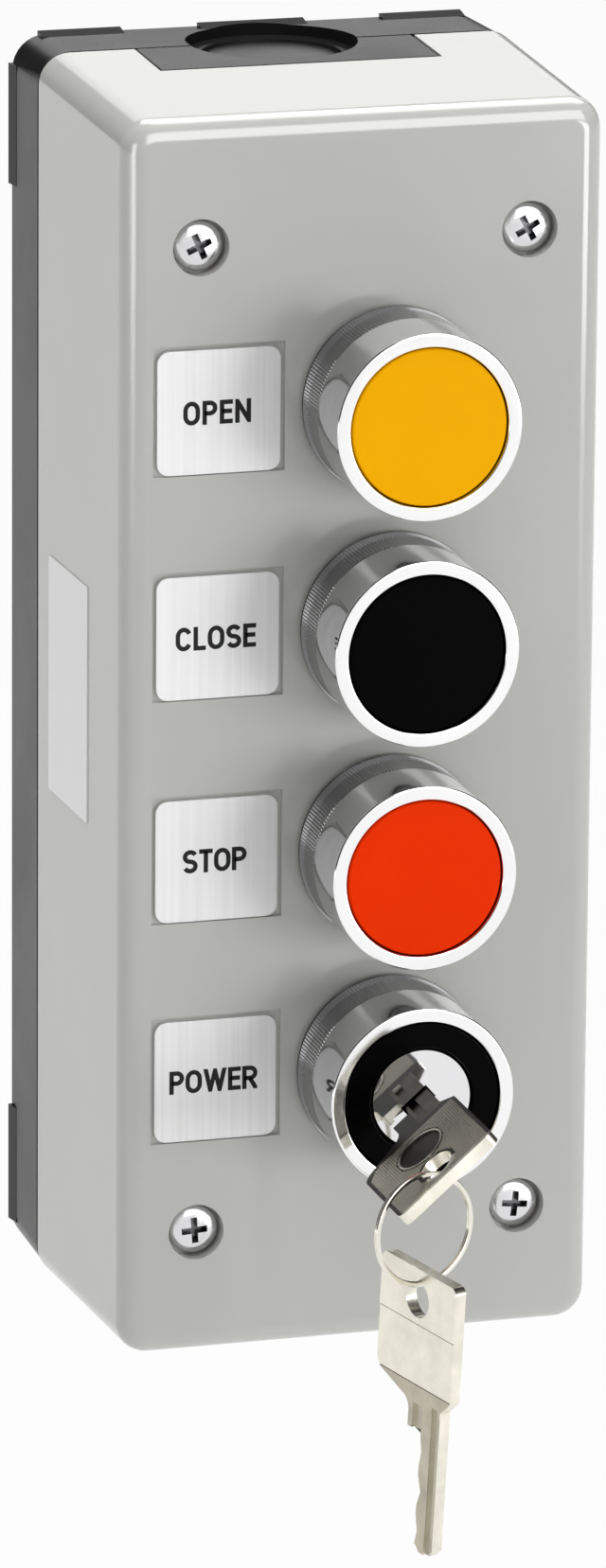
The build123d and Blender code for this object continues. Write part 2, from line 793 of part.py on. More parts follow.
def key_solid():
    body = extrude(key_outline(), key_thickness / 2, both=True)
    body += key_blade()
    groove_length = blade_length - groove_start + past
    groove = Box(groove_width, groove_length, groove_depth * 2)
    groove_y = -groove_start - groove_length / 2
    for side in (1, -1):
        groove_x = blade_centre + side * groove_offset
        body -= Pos(groove_x, groove_y, side * key_thickness / 2) * groove
    hollow = Box(stub_width - stub_margin, stub_length, stub_hollow * 2)
    hollow_x = blade_left - (stub_width - stub_margin) / 2
    body -= Pos(hollow_x, -stub_length / 2 - heel_drop, key_thickness / 2) * hollow
    hole_y = bow_length - key_hole_from_end
    body -= Pos(bow_centre, hole_y, 0) * Cylinder(key_hole_d / 2, key_thickness * 2)
    badge_y = bow_length - medallion_from_end
    badge = Cylinder(medallion_d / 2, 2 * medallion_depth)
    badge -= Cylinder(medallion_d / 2 - medallion_border, 2 * medallion_depth)
    body -= Pos(bow_centre, badge_y, -key_thickness / 2) * badge
    band = Box(bow_width + 2 * past, code_panel_end - code_panel_start, 2 * code_panel_depth)
    band_y = bow_length - (code_panel_start + code_panel_end) / 2
    return body - Pos(bow_centre, band_y, key_thickness / 2) * band


def inserted_key_plane():
    turn = math.radians(key_rest_angle)
    return Plane(
        origin=(operator_x, height(key_stand), lock_z),
        x_dir=(math.cos(turn), 0, math.sin(turn)),
        z_dir=(math.sin(turn), 0, -math.cos(turn)),
    )


ring_r = ring_outer_d / 2 - ring_wire_radial / 2
ring_along = Vector(math.cos(math.radians(ring_turn)), math.sin(math.radians(ring_turn)), 0)
hole_in_key = Vector(bow_centre, bow_length - key_hole_from_end, 0)
entry_in_key = hole_in_key - Vector(ring_entry_side, ring_entry_in, 0)
ring_entry = inserted_key_plane().from_local_coords(entry_in_key)
entry_turn = math.radians(ring_entry_angle)
ring_centre = ring_entry - ring_along * (ring_r * math.cos(entry_turn))
ring_centre = ring_centre - Vector(0, 0, ring_r * math.sin(entry_turn))
ring_foot = ring_centre - Vector(0, 0, ring_r)


def key_ring():
    section = Plane.XZ * Pos(ring_r, 0) * RectangleRounded(ring_wire_radial, ring_wire_axial, ring_wire_round)
    hoop = revolve(section, Axis.Z, 360)
    side = Plane(origin=ring_centre, x_dir=ring_along, z_dir=ring_along.cross(Vector(0, 0, 1)))
    return side.location * hoop


def spare_key_plane():
    """The spare key hangs in the ring's plane from the ring's lowest point."""
    lean = math.radians(spare_lean)
    drop = key_hole_d / 2 - ring_wire_radial / 2 - ring_hang_gap
    pivot = hole_in_key + Vector(math.sin(lean), math.cos(lean), 0) * drop
    back = Vector(0, 0, 1).cross(ring_along) * -1
    x_dir = back * math.cos(lean) + Vector(0, 0, 1) * math.sin(lean)
    plane = Plane(origin=ring_foot, x_dir=x_dir, z_dir=-ring_along)
    return Plane(origin=plane.from_local_coords(-pivot), x_dir=x_dir, z_dir=-ring_along)


# ---------------------------------------------------------------- write the nodes
save("rear_base", rear_base())
save("front_cover", front_cover())
save("cover_gasket", cover_gasket())
save("cover_screws", cover_screws())
save("screw_inserts", screw_inserts())
save("side_label", side_label())

all_seals = []
all_strips = []
all_terminal_screws = []
for name in station_names:
    z = station_z[name]
    save("legend_" + name, legend_plate(name))
    save("bush_" + name, operator_bush(z))
    save("ring_nut_" + name, ring_nut(z))
    save("bezel_" + name, bezel(z))
    save("contact_block_" + name, contact_block(name))
    save("contact_bridge_" + name, contact_bridge(z))
    save("contact_spring_" + name, contact_spring(z))
    all_seals.append(panel_seal(z))
    all_strips.extend(contact_strips(name))
    all_terminal_screws.extend(terminal_screws(name))
save("panel_seals", all_seals)
save("contact_strips", all_strips)
save("terminal_screws", all_terminal_screws)

for name in button_names:
    z = station_z[name]
    save("cap_" + name, button_cap(z))
    save("plunger_" + name, button_plunger(z))
    save("return_spring_" + name, return_spring(z))
    save("contact_carrier_" + name, contact_carrier(z))

save("lock_housing", lock_housing())
save("lock_barrel", lock_barrel())
save("lock_wafers", lock_wafers())
save("barrel_clip", barrel_clip())
save("switch_cam", switch_cam())
save("cam_follower", cam_follower())

key = key_solid()
save("key", inserted_key_plane().location * key)
save("key_ring", key_ring())
save("spare_key", spare_key_plane().location * key)
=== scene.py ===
import json
import math

import bmesh
import bpy
from mathutils import Matrix, Quaternion, Vector


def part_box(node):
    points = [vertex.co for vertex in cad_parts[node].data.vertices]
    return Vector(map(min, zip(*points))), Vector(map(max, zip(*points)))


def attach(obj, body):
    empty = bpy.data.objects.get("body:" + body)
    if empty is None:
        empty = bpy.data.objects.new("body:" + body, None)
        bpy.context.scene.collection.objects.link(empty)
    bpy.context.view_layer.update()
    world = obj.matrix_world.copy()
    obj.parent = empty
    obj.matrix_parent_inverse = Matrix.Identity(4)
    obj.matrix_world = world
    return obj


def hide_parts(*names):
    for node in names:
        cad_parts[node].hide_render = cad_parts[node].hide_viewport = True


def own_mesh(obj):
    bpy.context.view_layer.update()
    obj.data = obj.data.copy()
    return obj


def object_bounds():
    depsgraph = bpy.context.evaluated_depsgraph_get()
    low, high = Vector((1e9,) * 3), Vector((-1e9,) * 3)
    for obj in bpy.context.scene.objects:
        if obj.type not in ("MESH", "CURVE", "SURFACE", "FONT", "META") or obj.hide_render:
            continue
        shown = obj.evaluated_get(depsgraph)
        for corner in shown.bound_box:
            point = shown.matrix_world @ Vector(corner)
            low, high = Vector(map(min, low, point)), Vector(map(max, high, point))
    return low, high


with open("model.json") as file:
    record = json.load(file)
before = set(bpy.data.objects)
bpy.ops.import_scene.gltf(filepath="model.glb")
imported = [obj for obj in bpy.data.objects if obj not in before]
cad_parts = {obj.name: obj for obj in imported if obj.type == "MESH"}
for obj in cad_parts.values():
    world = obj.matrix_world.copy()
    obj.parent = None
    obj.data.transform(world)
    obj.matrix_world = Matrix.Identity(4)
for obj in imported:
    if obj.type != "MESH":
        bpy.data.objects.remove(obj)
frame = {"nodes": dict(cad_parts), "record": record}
cad_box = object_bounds()
scene = bpy.context.scene
MM = 0.001

# ------------------------ camera
# A long lens well to the left of the station and a little above it, so that the left side,
# the top and the front all show.
view_azimuth = math.radians(-16.597)
view_elevation = math.radians(15.572)
view_roll = math.radians(0.456)
towards_camera = Vector((
    math.sin(view_azimuth) * math.cos(view_elevation),
    -math.cos(view_azimuth) * math.cos(view_elevation),
    math.sin(view_elevation),
))
camera_data = bpy.data.cameras.new("camera")
camera_data.sensor_width = 36
camera_data.lens = 239
camera_data.clip_start = 0.05
camera_data.clip_end = 60
camera = bpy.data.objects.new("camera", camera_data)
camera.location = (-0.4576, -1.5684, 0.4299)
camera.rotation_mode = "QUATERNION"
camera.rotation_quaternion = (-towards_camera).to_track_quat("-Z", "Y") @ Quaternion(
    (0, 0, 1), view_roll
)
scene.collection.objects.link(camera)
scene.camera = camera
scene.view_settings.view_transform = "Standard"

# ------------------------ studio
# A pale floor well below the hanging key, a white surround for the lens, four soft boxes that
# light the surfaces, and five more that only draw highlights on the plastic or the chrome.
floor_gap = 0.16
floor_size = 8
floor_colour = (0.86, 0.86, 0.86, 1)
floor_glow = 0.9
floor_rough = 0.9


def direct_rays(nodes, links):
    """One where a ray comes straight from the lens, or by way of metal or glass."""
    rays = nodes.new("ShaderNodeLightPath")
    total = rays.outputs["Is Camera Ray"]
    for kind in ("Is Glossy Ray", "Is Transmission Ray"):
        add = nodes.new("ShaderNodeMath")
        add.operation = "ADD"
        add.use_clamp = True
        links.new(total, add.inputs[0])
        links.new(rays.outputs[kind], add.inputs[1])
        total = add.outputs[0]
    return total


floor_material = bpy.data.materials.new("studio_floor")
floor_material.use_nodes = True
floor_nodes = floor_material.node_tree.nodes
floor_links = floor_material.node_tree.links
floor_nodes["Principled BSDF"].inputs["Base Color"].default_value = floor_colour
floor_nodes["Principled BSDF"].inputs["Roughness"].default_value = floor_rough
floor_glow_shader = floor_nodes.new("ShaderNodeEmission")
floor_mix = floor_nodes.new("ShaderNodeMixShader")
floor_share = floor_nodes.new("ShaderNodeMath")
floor_share.operation = "MULTIPLY"
floor_share.inputs[1].default_value = floor_glow
floor_links.new(direct_rays(floor_nodes, floor_links), floor_share.inputs[0])
floor_links.new(floor_share.outputs[0], floor_mix.inputs["Fac"])
floor_links.new(floor_nodes["Principled BSDF"].outputs[0], floor_mix.inputs[1])
floor_links.new(floor_glow_shader.outputs[0], floor_mix.inputs[2])
floor_links.new(floor_mix.outputs[0], floor_nodes["Material Output"].inputs["Surface"])

floor_mesh = bmesh.new()
bmesh.ops.create_grid(floor_mesh, x_segments=1, y_segments=1, size=floor_size / 2)
bmesh.ops.translate(floor_mesh, verts=floor_mesh.verts, vec=(0, 0, cad_box[0].z - floor_gap))
floor_data = bpy.data.meshes.new("studio_floor")
floor_mesh.to_mesh(floor_data)
floor_mesh.free()
floor_data.materials.append(floor_material)
floor = bpy.data.objects.new("studio_floor", floor_data)
scene.collection.objects.link(floor)

world_level = 0.53
world = bpy.data.worlds.new("studio")
scene.world = world
world.use_nodes = True
sky = world.node_tree.nodes
sky_links = world.node_tree.links
sky_light = sky["Background"]
sky_light.inputs["Color"].default_value = (1, 1, 1, 1)
sky_light.inputs["Strength"].default_value = world_level
# What metal sees: a white wall behind the lens that falls off to a dim room.
white_wall_way = (0.22, -0.92, -0.32)
wall_steps = ((0.0, 0.03), (0.45, 0.14), (0.80, 1.0))
sky_seen = sky.new("ShaderNodeBackground")
sky_place = sky.new("ShaderNodeTexCoord")
sky_facing = sky.new("ShaderNodeVectorMath")
sky_facing.operation = "DOT_PRODUCT"
sky_facing.inputs[1].default_value = white_wall_way
sky_ramp = sky.new("ShaderNodeValToRGB")
sky_stops = sky_ramp.color_ramp.elements
sky_stops.new(wall_steps[1][0])
for stop, (position, level) in zip(sky_stops, wall_steps):
    stop.position = position
    stop.color = (level, level, level, 1)
sky_links.new(sky_place.outputs["Generated"], sky_facing.inputs[0])
sky_links.new(sky_facing.outputs["Value"], sky_ramp.inputs["Fac"])
sky_links.new(sky_ramp.outputs["Color"], sky_seen.inputs["Color"])
sky_white = sky.new("ShaderNodeBackground")
sky_white.inputs["Color"].default_value = (1, 1, 1, 1)
sky_mix = sky.new("ShaderNodeMixShader")
sky_lens = sky.new("ShaderNodeMixShader")
sky_rays = sky.new("ShaderNodeLightPath")
sky_links.new(direct_rays(sky, sky_links), sky_mix.inputs["Fac"])
sky_links.new(sky_light.outputs[0], sky_mix.inputs[1])
sky_links.new(sky_seen.outputs[0], sky_mix.inputs[2])
sky_links.new(sky_rays.outputs["Is Camera Ray"], sky_lens.inputs["Fac"])
sky_links.new(sky_mix.outputs[0], sky_lens.inputs[1])
sky_links.new(sky_white.outputs[0], sky_lens.inputs[2])
sky_links.new(sky_lens.outputs[0], sky["World Output"].inputs["Surface"])

# Name, place, watts, width, height, lights the surfaces, shows in gloss, all that it lights.
plastic_lit = bpy.data.collections.new("plastic_lit")
chrome_lit = bpy.data.collections.new("chrome_lit")
soft_boxes = (
    ("overhead_box", (0.0, -0.05, 1.1), 9.5, 0.9, 0.6, True, False, None),
    ("low_right_box", (0.85, -1.25, -0.30), 14.5, 0.7, 0.9, True, True, None),
    ("left_fill", (-1.3, -0.55, -0.7), 5.0, 0.8, 1.2, True, True, None),
    ("back_box", (0.6, 2.0, 0.75), 4.9, 1.6, 0.8, True, True, None),
    ("front_sheen", (0.42, -1.32, 0.80), 9.0, 1.5, 1.15, False, True, chrome_lit),
    ("overhead_sheen", (0.25, -0.30, 1.1), 7.0, 0.9, 0.6, False, True, chrome_lit),
    ("front_strip", (0.42, -1.32, 0.80), 24.0, 1.5, 1.15, False, True, plastic_lit),
    ("rear_strip", (0.38, 0.58, 1.35), 22.0, 1.5, 1.0, False, True, plastic_lit),
    ("left_strip", (-1.25, -0.95, -0.15), 16.0, 0.6, 1.6, False, True, plastic_lit),
)
for name, place, watts, width, tall, lights_up, reflected, lit in soft_boxes:
    lamp_data = bpy.data.lights.new(name, "AREA")
    lamp_data.shape = "RECTANGLE"
    lamp_data.size = width
    lamp_data.size_y = tall
    lamp_data.energy = watts
    lamp = bpy.data.objects.new(name, lamp_data)
    lamp.location = place
    lamp.visible_diffuse = lights_up
    lamp.visible_glossy = reflected
    lamp.rotation_mode = "QUATERNION"
    lamp.rotation_quaternion = (-Vector(place)).to_track_quat("-Z", "Y")
    lamp.light_linking.receiver_collection = lit
    scene.collection.objects.link(lamp)

# ------------------------ front cover
# One deep moulding in light grey, drafted towards its front, with the seats for the four
# legends, the holes for the operators and the wells of the cover screws.
noise_span = (0.3, 0.7)


def finish(name, colour, roughness, metallic=0.0, patch=0.04, patch_scale=45, grain=0.01,
           grain_scale=2600, stretch=(1, 1, 1), gloss_drift=0.04, specular=0.5):
    """A material whose colour and gloss drift in soft patches over a fine surface grain."""
    material = bpy.data.materials.new(name)
    material.use_nodes = True
    nodes = material.node_tree.nodes
    links = material.node_tree.links
    shader = nodes["Principled BSDF"]
    shader.inputs["Metallic"].default_value = metallic
    shader.inputs["Specular IOR Level"].default_value = specular
    place = nodes.new("ShaderNodeTexCoord")
    mapping = nodes.new("ShaderNodeMapping")
    mapping.inputs["Scale"].default_value = stretch
    links.new(place.outputs["Object"], mapping.inputs["Vector"])
    noises = []
    for scale, detail in ((patch_scale, 4), (grain_scale, 2)):
        noise = nodes.new("ShaderNodeTexNoise")
        noise.inputs["Scale"].default_value = scale
        noise.inputs["Detail"].default_value = detail
        links.new(mapping.outputs["Vector"], noise.inputs["Vector"])
        noises.append(noise.outputs["Fac"])
    patches, fine = noises
    tint = nodes.new("ShaderNodeValToRGB")
    for element, position, change in zip(tint.color_ramp.elements, noise_span, (-patch, patch)):
        element.position = position
        element.color = [channel * (1 + change) for channel in colour] + [1]
    links.new(patches, tint.inputs["Fac"])
    links.new(tint.outputs["Color"], shader.inputs["Base Color"])
    gloss = nodes.new("ShaderNodeMapRange")
    gloss.inputs["From Min"].default_value = noise_span[0]
    gloss.inputs["From Max"].default_value = noise_span[1]
    gloss.inputs["To Min"].default_value = roughness - gloss_drift
    gloss.inputs["To Max"].default_value = roughness + gloss_drift
    links.new(patches, gloss.inputs["Value"])
    links.new(gloss.outputs["Result"], shader.inputs["Roughness"])
    bump = nodes.new("ShaderNodeBump")
    bump.inputs["Strength"].default_value = 1
    bump.inputs["Distance"].default_value = grain * MM
    links.new(fine, bump.inputs["Height"])
    links.new(bump.outputs["Normal"], shader.inputs["Normal"])
    return material


def box_mm(node):
    """Lowest and highest corner of a node, in millimetres."""
    low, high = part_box(node)
    return low / MM, high / MM


def mesh_object(bm, name):
    """An object with a finished bmesh, turned from millimetres into metres."""
    bmesh.ops.scale(bm, vec=(MM, MM, MM), verts=bm.verts)
    mesh = bpy.data.meshes.new(name)
    bm.to_mesh(mesh)
    bm.free()
    made = bpy.data.objects.new(name, mesh)
    scene.collection.objects.link(made)
    return made


def dress(made, material, body, crease=38, others=()):
    """Gives a piece its materials and hard edges past the crease angle; it rides on its body."""
    for polygon in made.data.polygons:
        polygon.use_smooth = True
    made.data.set_sharp_from_angle(angle=math.radians(crease))
    for each in (material, *others):
        made.data.materials.append(each)
    even = made.modifiers.new("even_normals", "WEIGHTED_NORMAL")
    even.keep_sharp = True
    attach(made, body)


def soften(bm, width, segments=2, sharper_than=40, chosen=None):
    """Rounds the edges that turn by more than an angle, or the chosen ones."""
    edges = chosen
    if edges is None:
        limit = math.radians(sharper_than)
        edges = [e for e in bm.edges if len(e.link_faces) == 2 and e.calc_face_angle() > limit]
    bmesh.ops.bevel(bm, geom=edges, offset=width, segments=segments, profile=0.5,
                    affect="EDGES", material=-1, clamp_overlap=True)


def shift(bm, way):
    """Moves a whole bmesh."""
    bmesh.ops.translate(bm, vec=way, verts=bm.verts)


def face_out(bm):
    """Turns the faces of a closed shell outwards."""
    bmesh.ops.recalc_face_normals(bm, faces=bm.faces)


def block(low, high):
    """A box between two corners."""
    bm = bmesh.new()
    bmesh.ops.create_cube(bm, size=1)
    low, high = Vector(low), Vector(high)
    bmesh.ops.scale(bm, vec=high - low, verts=bm.verts)
    shift(bm, (low + high) / 2)
    return bm


def turned(profile, x, z, steps=96):
    """A turned body: its half section, as (radius, y), spun about an axis along Y."""
    bm = bmesh.new()
    points = [bm.verts.new((x + radius, y, z)) for radius, y in profile]
    closed = profile[0][0] > 0 or profile[-1][0] > 0
    pairs = list(zip(points, points[1:]))
    if closed:
        pairs.append((points[-1], points[0]))
    edges = [bm.edges.new(pair) for pair in pairs]
    bmesh.ops.spin(bm, geom=points + edges, cent=(x, 0, z), axis=(0, 1, 0),
                   angle=2 * math.pi, steps=steps, use_merge=True)
    bmesh.ops.remove_doubles(bm, verts=bm.verts, dist=1e-4)
    face_out(bm)
    return bm


def band(inner_r, outer_r, start, end):
    """The half section of a plain tube, or of a disc where its inner radius is nought."""
    return [(inner_r, start), (outer_r, start), (outer_r, end), (inner_r, end)]


def settled(made):
    """A piece's mesh with its modifiers worked in."""
    bpy.context.view_layer.update()
    graph = bpy.context.evaluated_depsgraph_get()
    return bpy.data.meshes.new_from_object(made.evaluated_get(graph))


def combine(made, tools, operation):
    """Adds tools to a piece, or cuts them out of it."""
    for tool in tools:
        helper = mesh_object(tool, "tool")
        step = made.modifiers.new("step", "BOOLEAN")
        step.operation = operation
        step.solver = "EXACT"
        step.object = helper
        result = settled(made)
        made.modifiers.remove(step)
        made.data = result
        helper_mesh = helper.data
        bpy.data.objects.remove(helper)
        bpy.data.meshes.remove(helper_mesh)


def reopen(made):
    """A piece's mesh as a bmesh in millimetres, for more work on it."""
    bm = bmesh.new()
    bm.from_mesh(made.data)
    bmesh.ops.scale(bm, vec=(1 / MM, 1 / MM, 1 / MM), verts=bm.verts)
    bmesh.ops.remove_doubles(bm, verts=bm.verts, dist=1e-4)
    return bm


def put_back(bm, made):
    """Returns a reopened bmesh to its piece."""
    bmesh.ops.scale(bm, vec=(MM, MM, MM), verts=bm.verts)
    bm.to_mesh(made.data)
    bm.free()


def drafted(back_y, back_size, front_y, front_size, corner, corner_steps=8):
    """A block that tapers from its back outline to its front one, its long edges rounded."""
    bm = block(
        (-back_size[0] / 2, front_y, -back_size[1] / 2),
        (back_size[0] / 2, back_y, back_size[1] / 2),
    )
    front = [v for v in bm.verts if v.co.y < (front_y + back_y) / 2]
    ratio = (front_size[0] / back_size[0], 1, front_size[1] / back_size[1])
    bmesh.ops.scale(bm, vec=ratio, verts=front)
    long_edges = [e for e in bm.edges if abs(e.verts[0].co.y - e.verts[1].co.y) > 1]
    soften(bm, corner, corner_steps, chosen=long_edges)
    return bm


def facing(bm, direction, least=0.9):
    """The faces that look in a direction."""
    bm.normal_update()
    return [f for f in bm.faces if f.normal.dot(Vector(direction)) > least]


def front_rim(bm):
    """The edges round the front of a piece."""
    return list(dict.fromkeys(e for f in facing(bm, (0, -1, 0)) for e in f.edges))


def new_verts(made_by):
    """The vertices that an extrusion made."""
    return [v for v in made_by["geom"] if isinstance(v, bmesh.types.BMVert)]


def hollow(bm, opening, wall, depth):
    """Sinks the inside of a box from its open side, by a depth along Y, and leaves its walls."""
    bmesh.ops.inset_region(bm, faces=opening, thickness=wall, use_even_offset=True)
    lined = bmesh.ops.extrude_face_region(bm, geom=opening)
    bmesh.ops.delete(bm, geom=opening, context="FACES")
    bmesh.ops.translate(bm, vec=(0, depth, 0), verts=new_verts(lined))
    face_out(bm)


cover_low, cover_high = box_mm("front_cover")
face_y = cover_low.y
cover_depth = 48
cover_back = face_y + cover_depth
seam_size = (cover_high.x - cover_low.x, cover_high.z - cover_low.z)
cover_front_size = (77.3, 199.0)
cover_corner = 5.0
cover_fillet = 3.6
cover_wall = 2.7
cover_fillet_steps = 10
cover_edge = 0.18
cover_panel = 3.0
cover_boss_r = 6.0
boss_core_r = 1.0
boss_sink = 1.0
past = 1  # how far a cutting tool starts or ends beyond a face
screw_spacing = (53.0, 159.0)
well_d = 9.0
well_depth = 3.5
screw_hole_d = 4.4
hole_d = 22.5
hole_reach = 9
recess_size = (21.2, 20.7)
recess_depth = 0.9
stations = ("open", "close", "stop", "power")
centres = {}
for station in stations:
    bezel_low, bezel_high = box_mm("bezel_" + station)
    centres[station] = (bezel_low + bezel_high) / 2
screw_places = [
    (side_x * screw_spacing[0] / 2, side_z * screw_spacing[1] / 2)
    for side_z in (1, -1)
    for side_x in (-1, 1)
]

cover_mesh = drafted(cover_back, seam_size, face_y, cover_front_size, cover_corner)
soften(cover_mesh, cover_fillet, cover_fillet_steps, chosen=front_rim(cover_mesh))
hollow(cover_mesh, facing(cover_mesh, (0, 1, 0)), cover_wall, face_y + cover_panel - cover_back)
cover = mesh_object(cover_mesh, "cover_moulding")

tongue_x = -0.8
tongue_width = 45.4
tongue_front = -31.8
notch_clearance = 0.35
notch_span = (97, 110)
notch_half = tongue_width / 2 + notch_clearance
notch = block(
    (tongue_x - notch_half, tongue_front - notch_clearance, notch_span[0]),
    (tongue_x + notch_half, 0, notch_span[1]),
)
boss = band(boss_core_r, cover_boss_r, face_y + cover_panel - boss_sink, cover_back)
combine(cover, [turned(boss, x, z, 48) for x, z in screw_places], "UNION")
well = [
    (0, face_y - past),
    (well_d / 2, face_y - past),
    (well_d / 2, face_y + well_depth),
    (screw_hole_d / 2, face_y + well_depth),
    (screw_hole_d / 2, cover_back + past),
    (0, cover_back + past),
]
hole = band(0, hole_d / 2, face_y - past, face_y + hole_reach)
cover_cuts = [notch] + [turned(well, x, z, 48) for x, z in screw_places]
for station, centre in centres.items():
    cover_cuts.append(turned(hole, centre.x, centre.z, 64))
    plate_low, plate_high = box_mm("legend_" + station)
    x = (plate_low.x + plate_high.x) / 2
    cover_cuts.append(block(
        (x - recess_size[0] / 2, face_y - past, centre.z - recess_size[1] / 2),
        (x + recess_size[0] / 2, face_y + recess_depth, centre.z + recess_size[1] / 2),
    ))
combine(cover, cover_cuts, "DIFFERENCE")
cover_mesh = reopen(cover)
soften(cover_mesh, cover_edge, 2, 45)
put_back(cover_mesh, cover)
cover_grey = finish("cover_grey", (0.50, 0.50, 0.480), 0.13, patch=0.025, patch_scale=28,
                    grain=0.006, grain_scale=1400, gloss_drift=0.02, specular=0.8)
dress(cover, cover_grey, "enclosure")
plastic_lit.objects.link(cover)
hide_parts("front_cover")

# ------------------------ finishes of the kept pieces
# The material slots of the part, in the order in which it is put together. Every CAD piece
# that keeps its own mesh gets one: the label, the seals and what is inside the box.
slot_of = {s["node"]: s["material_slot"] for s in frame["record"]["subparts"]}
finishes = {
    "cover_grey": cover_grey,
    "base_black": finish("base_black", (0.014, 0.014, 0.015), 0.28, patch=0.12, grain=0.012,
                         grain_scale=1600, specular=0.15),
    "gasket_rubber": finish("gasket_rubber", (0.006, 0.006, 0.006), 0.6, patch=0.1,
                            specular=0.05),
    "zinc_screw": finish("zinc_screw", (0.72, 0.72, 0.73), 0.18, metallic=1.0, grain=0.004),
    "brass": finish("brass", (0.72, 0.50, 0.20), 0.28, metallic=1.0, grain=0.004),
    "label_silver": finish("label_silver", (0.80, 0.80, 0.80), 0.32, metallic=0.2, patch=0.02),
    "brushed_aluminium": finish("brushed_aluminium", (0.80, 0.80, 0.80), 0.45, metallic=0.35,
                                patch=0.05, patch_scale=500, stretch=(3, 1, 0.03),
                                grain=0.01, grain_scale=2500),
    "bush_black": finish("bush_black", (0.03, 0.03, 0.03), 0.45, patch=0.1),
    # The nuts' chrome is darker than the rims' though the plating is the same: painted shade.
    "nut_chrome": finish("nut_chrome", (0.42, 0.42, 0.425), 0.10, metallic=1.0, grain=0.003),
    "bezel_chrome": finish("bezel_chrome", (0.93, 0.93, 0.93), 0.10, metallic=1.0, patch=0.02,
                           grain=0.0005, gloss_drift=0.02),
    "block_grey": finish("block_grey", (0.16, 0.17, 0.18), 0.5, patch=0.06),
    "contact_silver": finish("contact_silver", (0.82, 0.80, 0.76), 0.3, metallic=1.0),
    "spring_steel": finish("spring_steel", (0.5, 0.5, 0.51), 0.25, metallic=1.0),
    "cap_yellow": finish("cap_yellow", (0.98, 0.455, 0.0), 0.38, patch=0.02, grain=0.008,
                         specular=0.03),
    "cap_black": finish("cap_black", (0.0015, 0.0015, 0.0015), 0.38, patch=0.1, grain=0.01,
                        specular=0.015),
    "cap_red": finish("cap_red", (0.88, 0.034, 0.0), 0.38, patch=0.02, grain=0.008,
                      specular=0.03),
    "nylon_white": finish("nylon_white", (0.75, 0.73, 0.68), 0.5, patch=0.03),
    "dial_black": finish("dial_black", (0.001, 0.001, 0.001), 0.22, patch=0.1, grain=0.004,
                         specular=0.03),
    "barrel_chrome": finish("barrel_chrome", (0.80, 0.80, 0.81), 0.06, metallic=1.0,
                            patch=0.02, grain=0.0005, gloss_drift=0.02),
    "key_nickel": finish("key_nickel", (0.83, 0.80, 0.70), 0.26, metallic=1.0, patch=0.10,
                         patch_scale=220, grain=0.006, grain_scale=3200),
    "ring_steel": finish("ring_steel", (0.84, 0.81, 0.73), 0.12, metallic=1.0, patch=0.04),
}
for node, kept in frame["nodes"].items():
    kept.data.materials.clear()
    kept.data.materials.append(finishes[slot_of[node]])

# ------------------------ rear base
# A shallow black tray that the wall screws pass through, with rest pads on its back edges
# and a tongue at the top for the conduit entry, whose two knock-outs are moulded in.


def turn_by(bm, matrix):
    """Turns and moves a whole bmesh."""
    bmesh.ops.transform(bm, matrix=matrix, verts=bm.verts)


def upright(profile, x, y, steps=96):
    """A turned body about an upright axis: its half section is (radius, z)."""
    bm = turned(profile, 0, 0, steps)
    turn_by(bm, Matrix.Rotation(math.pi / 2, 4, "X"))
    shift(bm, (x, y, 0))
    return bm


def joined(parts):
    """Several bmeshes as one."""
    whole = bmesh.new()
    for part in parts:
        carrier = bpy.data.meshes.new("carrier")
        part.to_mesh(carrier)
        part.free()
        whole.from_mesh(carrier)
        bpy.data.meshes.remove(carrier)
    return whole


seal_gap = 0.7
base_front = cover_back + seal_gap
base_draft = (0.4, 0.8)
base_corner = 5.5
base_wall = 2.7
base_floor = 3.0
base_edge = 0.2
base_back_size = (seam_size[0] - base_draft[0], seam_size[1] - base_draft[1])
half_height = seam_size[1] / 2
base_mesh = drafted(0, base_back_size, base_front, seam_size, base_corner)
hollow(base_mesh, facing(base_mesh, (0, -1, 0)), base_wall, -base_floor - base_front)
base = mesh_object(base_mesh, "base_moulding")

tongue_drop = 0.46
tongue_edge = 0.25
tongue = block(
    (tongue_x - tongue_width / 2, tongue_front, half_height - base_wall),
    (tongue_x + tongue_width / 2, base_front + base_wall, half_height),
)
for v in tongue.verts:
    if v.co.y < base_front - 1:
        v.co.z -= tongue_drop
soften(tongue, tongue_edge, 2)
entry_y = -15.0
entry_r = 13.7
entry_wall = 1.0
entry_boss = band(0, entry_r + entry_wall, half_height - 1.3, half_height - 6.8)
pad_rise = 0.6
pad_root = 0.3
pad_depth = 3.0
pad_lip = 0.08
end_pads = ((-28.3, 13.6), (0.0, 17.6), (28.3, 13.6))
side_pads = ((-86.5, 19.5), (86.5, 19.5))
pads = []
for along, across, places in ((0, 2, end_pads), (2, 0, side_pads)):
    edge = base_back_size[across // 2] / 2
    for middle, length in places:
        for side in (1, -1):
            low, high = [0, -pad_depth, 0], [0, 0, 0]
            low[along], high[along] = middle - length / 2, middle + length / 2
            reach = side * (edge - pad_root), side * (edge + pad_rise)
            low[across], high[across] = min(reach), max(reach)
            pad = block(low, high)
            for v in pad.verts:
                if v.co.y < -1 and v.co[across] * side > edge:
                    v.co[across] -= side * (pad_rise - pad_lip)
            pads.append(pad)
base_boss_r = 5.5
base_boss_bore_r = 3.0
base_boss_root = -2.5
boss = band(base_boss_bore_r, base_boss_r, base_front, base_boss_root)
base_bosses = [turned(boss, x, z, 48) for x, z in screw_places]
combine(base, [tongue, upright(entry_boss, tongue_x, entry_y), joined(pads), joined(base_bosses)],
        "UNION")

